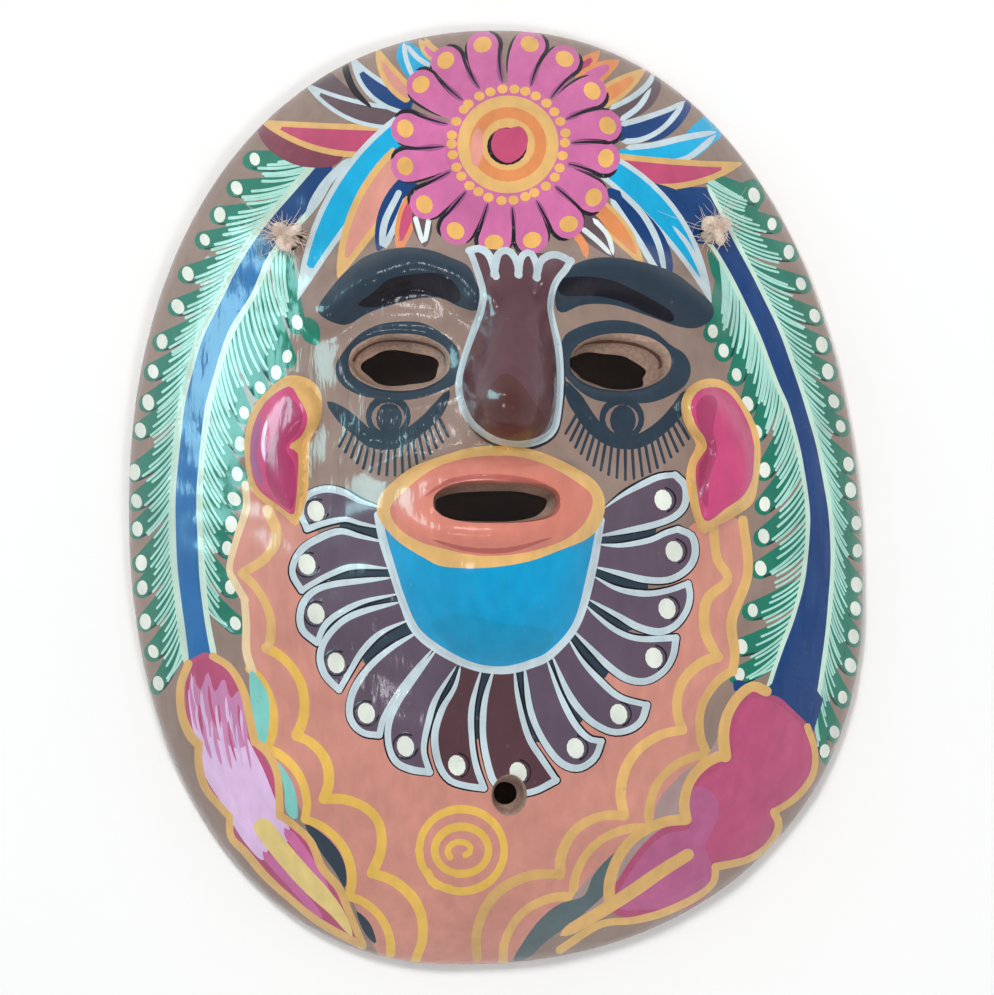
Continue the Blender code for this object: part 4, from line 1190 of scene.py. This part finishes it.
def paint_left_bud(painting):
    """The left bud, with pale streaks down it: partly its paint, partly painted window reflection."""
    paint_rows(painting, LEFT_BUD_GROUND)
    for streak in range(LEFT_BUD_STREAKS):
        x, y = 193 + 2.5 * streak, 716 + painting.draw.uniform(-24, 22) + 0.9 * streak
        line = [(x - 2, y - 20), (x, y), (x + 6, y + painting.draw.uniform(18, 34))]
        colour = ("lilac", "mallow", "lilac", "bud")[streak % 4]
        painting.stroke(colour, line, painting.draw.uniform(2.2, 3.8), ends=(12, 12))
    paint_rows(painting, LEFT_BUD_LINES)


def whole_painting():
    painting = Painting()
    paint_stems(painting)
    painting.fill("salmon", CHIN_AREA)
    paint_rows(painting, LEAVES)
    paint_flower(painting)
    paint_eyes(painting)
    paint_rows(painting, NOSE)
    paint_mouth(painting)
    paint_rows(painting, CHIN_LINES)
    paint_spiral(painting)
    paint_rows(painting, CHEEKS)
    paint_rows(painting, RIGHT_BUD_LINES)
    paint_left_bud(painting)
    return painting.shapes


# The mask's mesh


def ripple(draw, turns, waves, size, fall=1):
    """A random waver round a loop, in these numbers of waves, lower for the shorter ones."""
    ripples = 0.0
    for wave in waves:
        height = draw.normal(0, size / wave**fall)
        ripples = ripples + height * np.sin(wave * turns + draw.uniform(0, ANY_PHASE))
    return ripples


class Opening:
    """A way through the wall: an oval in front, and another one behind.

    The one behind is moved by the slant, turned by some degrees, and as ragged as rag says.
    """

    def __init__(self, centre, size, back_size, slant, squareness, segments, rag, turn=0.0):
        self.centre, self.back_centre = centre, centre + slant
        across, up = math.cos(math.radians(turn)), math.sin(math.radians(turn))
        self.front, self.back = np.diag(size), np.array([[across, -up], [up, across]]) @ np.diag(back_size)
        self.squareness, self.segments, self.rag = squareness, segments, rag

    def loop(self, seed):
        turns = 2 * math.pi * np.arange(self.segments) / self.segments
        waver = ripple(np.random.default_rng(seed), turns, (2, 3, 5, 8), LOOP_WAVER)
        return self.centre + unit_oval(turns, self.squareness) * (1 + waver)[:, None] @ self.front.T

    def behind(self, places):
        """The back edge's points for these points of the front edge."""
        unit = (places - self.centre) @ np.linalg.inv(self.front).T
        power = self.squareness / 2
        turns = np.arctan2(np.sign(unit[:, 1]) * np.abs(unit[:, 1]) ** power,
                           np.sign(unit[:, 0]) * np.abs(unit[:, 0]) ** power)
        draw = np.random.default_rng(self.segments + int(1e4 * abs(self.centre[0])))
        waver = ripple(draw, turns, (2, 3, 5, 7), self.rag, fall=0)
        return self.back_centre + unit_oval(turns, self.squareness) * (1 + waver)[:, None] @ self.back.T


def bore(centre):
    """A round hole for the cord, square to the front surface."""
    normal = front_place(centre)[1]
    side = normal.cross(Vector((0, 1, 0))).normalized()
    rise = side.cross(normal)
    hole = Opening(centre, (1, 1), (1, 1), -WALL * np.array(normal.xy), 2.0, 30, 0.0)
    hole.front = hole.back = CORD_HOLE_RADIUS * np.array([[side.x, rise.x], [side.y, rise.y]])
    return hole


def openings():
    return [
        Opening(EYE_LEFT, EYE_SIZE, EYE_BACK_SIZE, EYE_LEFT_SLANT, EYE_SQUARENESS, 84, 0.045, -3),
        Opening(EYE_RIGHT, EYE_SIZE, EYE_BACK_SIZE, EYE_RIGHT_SLANT, EYE_SQUARENESS, 84, 0.035, -11),
        Opening(MOUTH, MOUTH_SIZE, MOUTH_BACK_SIZE, MOUTH_SLANT, MOUTH_SQUARENESS, 96, 0.02),
        Opening(CHIN_HOLE, CHIN_HOLE_SIZE, CHIN_HOLE_BACK_SIZE, CHIN_HOLE_SLANT, 2.0, 40, 0.015),
        bore(CORD_HOLE_LEFT),
        bore(CORD_HOLE_RIGHT),
    ]


def cut_sheet(loops, lines, free_points):
    """Triangles inside the first loop and outside the others, along every line."""
    points, edges = [], []
    start = 0
    for line in loops + lines:
        count = len(line)
        edges += [(start + step, start + (step + 1) % count) for step in range(count)]
        points.append(line)
        start += count
    flat = [Vector(place) for place in np.vstack(points + [free_points]).tolist()]
    found = delaunay_2d_cdt(flat, edges, [], 0, CUT_TOLERANCE)
    places = np.array([tuple(vertex) for vertex in found[0]])
    triangles = np.array(found[2])
    middles = places[triangles].mean(axis=1)
    keep = inside_loop(middles, loops[0])
    for loop in loops[1:]:
        keep &= ~inside_loop(middles, loop)
    return places, triangles[keep]


def edge_loops(triangles):
    """The sheet's open edges, chained into closed loops of vertex numbers."""
    sides = np.vstack([triangles[:, [0, 1]], triangles[:, [1, 2]], triangles[:, [2, 0]]])
    known = {tuple(side) for side in sides.tolist()}
    ahead = {first: second for first, second in known if (second, first) not in known}
    loops = []
    while ahead:
        first, current = ahead.popitem()
        loop = [first]
        while current != first:
            loop.append(current)
            current = ahead.pop(current)
        loops.append(loop)
    return loops


def front_sheet(rim, holes, shapes):
    """The painted face: its places, triangles, paint and the lift of each place."""
    rings = [rim * share for share in EDGE_RINGS]
    lines = [outline for colour, outline, tone, ridge in shapes]
    ridges = np.vstack([ridge for colour, outline, tone, ridge in shapes if ridge is not None])
    fixed = np.vstack([rim] + holes + rings + lines + [ridges])
    grid = grid_inside(FRONT_STEP, rim, EDGE_RINGS[-1] - FRONT_MARGIN, fixed, FRONT_CLEARANCE)
    places, triangles = cut_sheet([rim] + holes, lines, np.vstack(rings + [grid, ridges]))
    middles = places[triangles].mean(axis=1)
    paint = np.full(len(triangles), -1)
    lift = np.zeros(len(places))
    tree = plan_tree(places)
    for number, (colour, outline, tone, ridge) in enumerate(shapes):
        low, high = outline.min(axis=0), outline.max(axis=0)
        near = np.flatnonzero(((middles > low) & (middles < high)).all(axis=1))
        paint[near[inside_loop(middles[near], outline)]] = number
        around = np.flatnonzero(((places > low) & (places < high)).all(axis=1))
        lift[around[inside_loop(places[around], outline)]] = 0.0
        if ridge is not None:
            for px, py in ridge:
                lift[tree.find((px, py, 0.0))[1]] = PAINT_LIFT
    return places, triangles, paint, lift


class Body:
    """Vertices and faces of a mesh, with a material number and a colour for each face."""

    def __init__(self):
        self.places, self.faces, self.slots, self.colours = [], [], [], []
        self.count = 0

    def add(self, places):
        self.places.append(np.asarray(places, float))
        self.count += len(places)
        return np.arange(self.count - len(places), self.count)

    def cover(self, faces, slot, colours):
        self.faces += [tuple(face) for face in np.asarray(faces).tolist()]
        self.slots += [slot] * len(faces)
        self.colours.append(np.broadcast_to(colours, (len(faces), 3)))

    def bridge(self, first, second, slot, colour):
        """Quads from one ring of vertices to the next, facing left of the way round."""
        first, second = np.asarray(first), np.asarray(second)
        self.cover(np.column_stack([first, second, np.roll(second, -1), np.roll(first, -1)]), slot, colour)

    def build(self, name, materials):
        mesh = bpy.data.meshes.new(name)
        mesh.from_pydata(np.vstack(self.places).tolist(), [], self.faces)
        mesh.validate()
        mesh.polygons.foreach_set("material_index", self.slots)
        paint = mesh.color_attributes.new("paint", "FLOAT_COLOR", "CORNER")
        sizes = np.array([len(face) for face in self.faces])
        corner = np.repeat(np.vstack(self.colours), sizes, axis=0)
        paint.data.foreach_set("color", np.column_stack([corner, np.ones(len(corner))]).ravel())
        mesh.shade_smooth()
        mesh.set_sharp_from_angle(angle=math.radians(SHARP_ANGLE))
        for material in materials:
            mesh.materials.append(material)
        piece = bpy.data.objects.new(name, mesh)
        bpy.context.collection.objects.link(piece)
        return piece


def painted_front(body, rim, holes):
    """The face, with its paint. Returns the vertices, their places and heights, and the triangles."""
    shapes = whole_painting()
    places, triangles, paint, lift = front_sheet(rim, holes, shapes)
    heights = front_height(*places.T) + lift
    heights += HAND_UNEVEN * unevenness(*places.T, *FRONT_SWELLS, FRONT_SEED)
    used = np.unique(triangles)
    renumbered = np.zeros(len(places), dtype=int)
    renumbered[used] = np.arange(len(used))
    places, heights, triangles = places[used], heights[used], renumbered[triangles]
    front = body.add(np.column_stack([places, heights]))
    palette = [linear(COLOURS[colour]) * tone for colour, outline, tone, ridge in shapes]
    body.cover(front[triangles], PAINTED, np.array(palette + [linear(COLOURS["clay"])])[paint])
    return front, places, heights, triangles


def opening_wall(body, way, number, ring, plan, heights):
    """The wall from an opening's front edge to its back edge, rough unless it is a bore."""
    middle = plan.mean(axis=0)
    behind = way.behind(plan)
    rear = back_height(*behind.T)
    outward = (plan - middle) / np.hypot(*(plan - middle).T)[:, None]
    draw = np.random.default_rng(WALL_SEED + number)
    turns = np.linspace(0, 2 * math.pi, len(plan), endpoint=False)
    for step in range(1, WALL_RINGS + 1):
        share = step / WALL_RINGS
        waver = ripple(draw, turns, (3, 5, 9, 14), 1)
        inward, rough = share, 0.0
        if number not in BORES:
            inward = 0.75 * share + 0.25 * share**4 + 0.1 * math.sin(2 * math.pi * share)
            rough = CUT_UNEVEN * math.sin(math.pi * share) * waver[:, None]
        level = heights * (1 - share) + rear * share
        below = body.add(np.column_stack([plan * (1 - inward) + behind * inward + outward * rough, level]))
        if number == MOUTH_NUMBER and step <= LIP_PAINT_RINGS:
            body.bridge(ring, below, PAINTED, linear(COLOURS["lip"]))
        else:
            # The upper side of each eye's wall gets a darker band: a crease line and painted shade under the
            # top edge
            crease_and_shade = (number in EYES) & (step in CREASE_AND_SHADE_RINGS) & (plan[:, 1] > middle[1])
            body.bridge(ring, below, CUT, np.where(crease_and_shade[:, None], CREASE_AND_SHADE, BARE))
        ring = below
    return behind, ring


def back_rim(body, ring, plan):
    """The rim's rounded outer edge and its flat face, up to the lip of the hollow."""
    slope = RIM_OUTER_ROUND * (1 - math.sqrt(0.5))
    levels = (
        (0.0, RIM_OUTER_ROUND),
        (slope, slope),
        (RIM_OUTER_ROUND, 0.0),
        (RIM_WIDTH - RIM_INNER_BEVEL, 0.0),
    )
    for depth, height in levels:
        below = body.add(np.column_stack([inset(plan, depth), np.full(len(plan), height)]))
        body.bridge(ring, below, CUT, BARE)
        ring = below
    inner_plan = inset(plan, RIM_WIDTH)
    lip = body.add(np.column_stack([inner_plan, back_height(*inner_plan.T)]))
    body.bridge(ring, lip, BACK, BARE)
    return inner_plan, lip


def raw_back(body, loops, rings):
    """The roof of the hollow, from its lip to the back edges of the openings."""
    edges, edge_vertices = np.vstack(loops), np.concatenate(rings)
    grid = grid_inside(BACK_STEP, loops[0], BACK_RINGS[-1] - BACK_MARGIN, edges, BACK_CLEARANCE)
    extra = np.vstack([loops[0][::3] * part for part in BACK_RINGS])
    places, triangles = cut_sheet(loops, [], np.vstack([grid, extra]))
    tree = plan_tree(edges)
    nearest = [tree.find((px, py, 0.0)) for px, py in places]
    numbers = np.array([edge_vertices[index] if away < SAME_PLACE else -1 for place, index, away in nearest])
    used = np.unique(triangles)
    fresh = used[numbers[used] < 0]
    away = np.clip(nearest_distance(places[fresh], edges) / BACK_SMOOTH_EDGE, 0, 1)
    heights = back_height(*places[fresh].T)
    heights += BACK_UNEVEN * HAND_UNEVEN * away * unevenness(*places[fresh].T, *BACK_SWELLS, BACK_SEED)
    numbers[fresh] = body.add(np.column_stack([places[fresh], heights]))
    body.cover(numbers[triangles][:, ::-1], BACK, BARE)


def build_mask(materials):
    """The painted front, the cut walls of its openings, the rim and the raw back."""
    ways = openings()
    body = Body()
    holes = [way.loop(seed) for seed, way in enumerate(ways)]
    front, places, heights, triangles = painted_front(body, outline_points(RIM_SEGMENTS), holes)
    plans, rings = [], []
    for loop in edge_loops(triangles):
        plan = places[loop]
        if np.ptp(plan, axis=0).max() > WIDTH / 2:
            outer_ring, outer_plan = front[loop], plan
            continue
        middle = plan.mean(axis=0)
        number = int(np.argmin([np.hypot(*(way.centre - middle)) for way in ways]))
        behind, ring = opening_wall(body, ways[number], number, front[loop], plan, heights[loop])
        plans.append(behind)
        rings.append(ring)
    inner_plan, lip = back_rim(body, outer_ring, outer_plan)
    raw_back(body, [inner_plan] + plans, [lip] + rings)
    return body.build("painted_mask", materials)


# Materials


class Shading:
    """A material with the few kinds of node that this scene needs."""

    def __init__(self, name, roughness):
        self.material = bpy.data.materials.new(name)
        self.material.use_nodes = True
        self.nodes, self.links = self.material.node_tree.nodes, self.material.node_tree.links
        self.inputs = self.nodes["Principled BSDF"].inputs
        self.set("Roughness", roughness)

    def set(self, socket, value):
        self.inputs[socket].default_value = value

    def noise(self, scale, detail=4.0, stretch=(1, 1, 1)):
        """Noise in the object's own metres, so many swells to the metre."""
        place = self.nodes.new("ShaderNodeTexCoord")
        spread = self.nodes.new("ShaderNodeMapping")
        spread.inputs["Scale"].default_value = stretch
        texture = self.nodes.new("ShaderNodeTexNoise")
        texture.inputs["Scale"].default_value = scale
        texture.inputs["Detail"].default_value = detail
        self.links.new(place.outputs["Object"], spread.inputs["Vector"])
        self.links.new(spread.outputs["Vector"], texture.inputs["Vector"])
        return texture.outputs["Fac"]

    def remap(self, value, low, high, to_low, to_high):
        """The value's range from low to high, laid over that from to_low to to_high."""
        return remap(self.nodes, self.links, value, low, high, to_low, to_high)

    def painted(self):
        """The colour that each face of the mesh holds."""
        attribute = self.nodes.new("ShaderNodeAttribute")
        attribute.attribute_name = "paint"
        return attribute.outputs["Color"]

    def blend(self, mode, amount, first, second):
        """Two colours blended. Each of these three is a socket or a fixed value."""
        node = self.nodes.new("ShaderNodeMix")
        node.data_type, node.blend_type = "RGBA", mode
        for socket, value in ((node.inputs[0], amount), (node.inputs[6], first), (node.inputs[7], second)):
            if isinstance(value, bpy.types.NodeSocket):
                self.links.new(value, socket)
            else:
                socket.default_value = value
        return node.outputs[2]

    def colour(self, value):
        self.links.new(value, self.inputs["Base Color"])

    def bump(self, socket, value, strength, distance):
        bump = self.nodes.new("ShaderNodeBump")
        bump.inputs["Strength"].default_value = strength
        bump.inputs["Distance"].default_value = distance
        self.links.new(value, bump.inputs["Height"])
        self.links.new(bump.outputs["Normal"], self.inputs[socket])


def remap(nodes, links, value, low, high, to_low, to_high):
    node = nodes.new("ShaderNodeMapRange")
    for name, number in (("From Min", low), ("From Max", high), ("To Min", to_low), ("To Max", to_high)):
        node.inputs[name].default_value = number
    links.new(value, node.inputs["Value"])
    return node.outputs["Result"]


def painted_material():
    """Gouache under a clear lacquer: brushed tone, worn specks where the clay shows, gloss."""
    shading = Shading("painted_clay", 0.45)
    brushed = shading.remap(shading.noise(300, 3.0, (1.0, 0.3, 1.0)), 0.3, 0.7, 0.92, 1.06)
    colour = shading.blend("MULTIPLY", 1.0, shading.painted(), brushed)
    broad = shading.remap(shading.noise(45, 3.0), 0.3, 0.7, 0.9, 1.08)
    colour = shading.blend("MULTIPLY", 1.0, colour, broad)
    worn = shading.remap(shading.noise(420, 5.0), 0.68, 0.76, 0.0, 0.25)
    shading.colour(shading.blend("MIX", worn, colour, (*linear(COLOURS["clay"]), 1.0)))
    shading.set("Specular IOR Level", 0.1)
    shading.set("Coat Weight", 1.0)
    shading.set("Coat IOR", 1.32)
    shading.set("Coat Roughness", 0.16)
    shading.bump("Normal", shading.noise(900, 3.0), 0.1, 0.0004)
    shading.bump("Coat Normal", shading.noise(300, 3.0, (1.0, 0.18, 0.6)), 0.55, 0.0009)
    return shading.material


def clay_material(name, colour, roughness, fine, strength):
    """Raw fired clay: blotched, with pits and grains."""
    shading = Shading(name, roughness)
    base, dark = (*linear(colour), 1.0), (*(linear(colour) * 0.55), 1.0)
    blotched = shading.remap(shading.noise(70, 6.0), 0.35, 0.65, 0.0, 0.75)
    grain = shading.remap(shading.noise(fine, 4.0), 0.3, 0.7, 0.8, 1.15)
    clay = shading.blend("MULTIPLY", 1.0, shading.blend("MIX", blotched, base, dark), grain)
    shading.colour(shading.blend("MULTIPLY", 1.0, clay, shading.painted()))
    shading.bump("Normal", shading.noise(fine, 6.0), strength, 0.0008)
    return shading.material


def sisal_material():
    shading = Shading("sisal", 0.85)
    streak = shading.remap(shading.noise(1600, 3.0), 0.3, 0.7, 0.0, 1.0)
    pale, dark = (*linear(COLOURS["sisal"]), 1.0), (*linear(COLOURS["dark_sisal"]), 1.0)
    shading.colour(shading.blend("MIX", streak, pale, dark))
    shading.bump("Normal", shading.noise(2200, 3.0), 0.4, 0.0003)
    return shading.material


# Cord, knots and fibres


def tube(body, path, radii, sides, lobes=0, pitch=1.0):
    """A closed tube along a path, with twisted lobes if it has any."""
    path = np.asarray(path, float)
    radii = np.broadcast_to(radii, len(path))
    ahead = np.gradient(path, axis=0)
    ahead /= np.linalg.norm(ahead, axis=1)[:, None]
    side = np.cross(ahead[0], (0.3, 0.2, 1.0))
    turns = 2 * math.pi * np.arange(sides) / sides
    run = 0.0
    rings = []
    for index, (place, direction) in enumerate(zip(path, ahead)):
        if index:
            run += np.linalg.norm(place - path[index - 1])
        side = side - direction * side.dot(direction)
        side /= np.linalg.norm(side)
        other = np.cross(direction, side)
        twist = turns - 2 * math.pi * run / pitch
        shape = 1 - LOBE_DEPTH * (1 - np.abs(np.cos(lobes * twist / 2))) if lobes else np.ones(sides)
        round_about = np.cos(turns)[:, None] * side + np.sin(turns)[:, None] * other
        rings.append(body.add(place + radii[index] * shape[:, None] * round_about))
    for first, second in zip(rings, rings[1:]):
        body.bridge(second, first, 0, BARE)
    for ring, end, flip in ((rings[0], path[0], False), (rings[-1], path[-1], True)):
        middle = body.add([end])[0]
        fan = np.column_stack([np.full(len(ring), middle), np.roll(ring, -1), ring])
        body.cover(fan[:, ::-1] if flip else fan, 0, BARE)


def cord_path():
    """The cord's middle line, from the mouth of the left hole to that of the right one."""
    ends = []
    for hole in (CORD_HOLE_LEFT, CORD_HOLE_RIGHT):
        mouth, normal = (np.array(value) for value in front_place(hole))
        depths = (-TOUCH_GAP, WALL / 2, WALL + CORD_STRAIGHT)
        ends.append([mouth - depth * normal for depth in depths])
    return evenly(smooth_curve(np.vstack([ends[0], CORD_ROUTE, ends[1][::-1]]), 12), CORD_STEP)


def build_cord(material):
    body = Body()
    path = cord_path()
    tube(body, path, CORD_DIAMETER / 2, CORD_SIDES, CORD_STRANDS, CORD_PITCH)
    return body.build("sisal_cord", [material]), path


def build_knot(name, hole, leans, count, seed, material):
    """An overhand knot pulled tight on the hole, with its frayed end fanned out."""
    seat, normal = front_place(hole)
    side = normal.cross(Vector((0, 1, 0))).normalized()
    axes = np.array([side, side.cross(normal), normal])
    centre = np.array(seat + KNOT_HEIGHT * normal)
    turns = np.linspace(0, 2 * math.pi, 73)[:-1]
    loop = np.column_stack([
        np.sin(turns) + 1.1 * np.sin(2 * turns),
        np.cos(turns) - 1.1 * np.cos(2 * turns),
        -0.62 * np.sin(3 * turns),
    ]) * KNOT_LOOP / 1.55
    body = Body()
    path = np.vstack([loop, loop[:1]]) @ axes + centre
    tube(body, path, KNOT_TUBE, 12, CORD_STRANDS, 0.6 * CORD_PITCH)
    draw = np.random.default_rng(seed)
    share = np.linspace(0, 1, 7)[:, None]
    for fibre in range(count):
        short = fibre % 4 != 0
        lean = math.radians(draw.uniform(0, 360) if short else leans[fibre % len(leans)] + draw.normal(0, 16))
        reach = draw.uniform(*(SHORT_FIBRE_MM if short else LONG_FIBRE_MM)) * MM
        out = np.array([math.cos(lean), math.sin(lean), draw.uniform(0.1, 1.1)])
        curl = draw.normal(0, 0.35, 3) * (1, 1, 0.5)
        start = draw.normal(0, 1.5 * MM, 3) * (1, 1, 0.4) + (0, 0, MM)
        line = start + reach * (out * share + curl * share**2 - np.array([0, 0, 0.25]) * share**2)
        tube(body, line + centre, (1.7 if short else 1.0) * FIBRE_RADIUS * (1 - 0.6 * share[:, 0]), 4)
    return body.build(name, [material])


# Floor, light and camera


def build_floor():
    body = Body()
    corners = body.add([(-FLOOR_HALF, -FLOOR_HALF, 0), (FLOOR_HALF, -FLOOR_HALF, 0),
                        (FLOOR_HALF, FLOOR_HALF, 0), (-FLOOR_HALF, FLOOR_HALF, 0)])
    body.cover([corners], 0, BARE)
    shading = Shading("floor", 0.9)
    shading.set("Base Color", (0.92, 0.92, 0.92, 1.0))
    floor = body.build("floor", [shading.material])


def add_light(name, place, size, power, colour, lights):
    """A rectangle of light that lights the paint only, or is only seen in the lacquer."""
    light = bpy.data.lights.new(name, "AREA")
    light.shape, (light.size, light.size_y) = "RECTANGLE", size
    light.energy, light.color = power, colour
    lamp = bpy.data.objects.new(name, light)
    lamp.location = place
    lamp.rotation_euler = (Vector(LIGHT_AIM) - Vector(place)).to_track_quat("-Z", "Y").to_euler()
    lamp.visible_diffuse = lights == "paint"
    lamp.visible_glossy = lights == "lacquer"
    bpy.context.collection.objects.link(lamp)


def build_camera():
    data = bpy.data.cameras.new("camera")
    data.lens = data.sensor_width * CAMERA_HEIGHT / (PICTURE_WIDTH * PIXEL)
    data.clip_end = 20
    camera = bpy.data.objects.new("camera", data)
    across = (PICTURE_WIDTH / 2 - PICTURE_CENTRE[0]) * PIXEL
    camera.location = (across, 0.0, CAMERA_HEIGHT + SCALE_HEIGHT)
    bpy.context.collection.objects.link(camera)
    bpy.context.scene.camera = camera


def build_light():
    """A pale room with a darker ceiling, two soft lamps, and a window low on the left."""
    world = bpy.data.worlds.new("world")
    world.use_nodes = True
    nodes, links = world.node_tree.nodes, world.node_tree.links
    direction = nodes.new("ShaderNodeTexCoord").outputs["Generated"]
    parts = nodes.new("ShaderNodeSeparateXYZ")
    links.new(direction, parts.inputs["Vector"])
    background = nodes["Background"]
    background.inputs["Color"].default_value = (0.96, 0.99, 1.0, 1.0)
    links.new(remap(nodes, links, parts.outputs["Z"], 0.0, 1.0, *ROOM_LIGHT), background.inputs["Strength"])
    bpy.context.scene.world = world
    bpy.context.scene.view_settings.view_transform = "Standard"
    for lamp in LAMPS:
        add_light(*lamp)


build_camera()
sisal = sisal_material()
cord, path = build_cord(sisal)
knots = [
    build_knot("frayed_knot_left", CORD_HOLE_LEFT, (145, 120, 100, 165), 150, 21, sisal),
    build_knot("frayed_knot_right", CORD_HOLE_RIGHT, (70, 170, 30), 110, 22, sisal),
]
mask = build_mask([
    painted_material(),
    clay_material("cut_clay", COLOURS["cut_clay"], 0.85, 900, 0.5),
    clay_material("back_clay", COLOURS["back_clay"], 0.9, 500, 0.35),
])
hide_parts("mask_shell")
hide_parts("hanging_cord")
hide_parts("cord_knot_left")
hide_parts("cord_knot_right")
for piece, slot in ((mask, "painted_clay"), (cord, "sisal"), (knots[0], "sisal"), (knots[1], "sisal")):
    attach(piece, "root")
build_floor()
build_light()
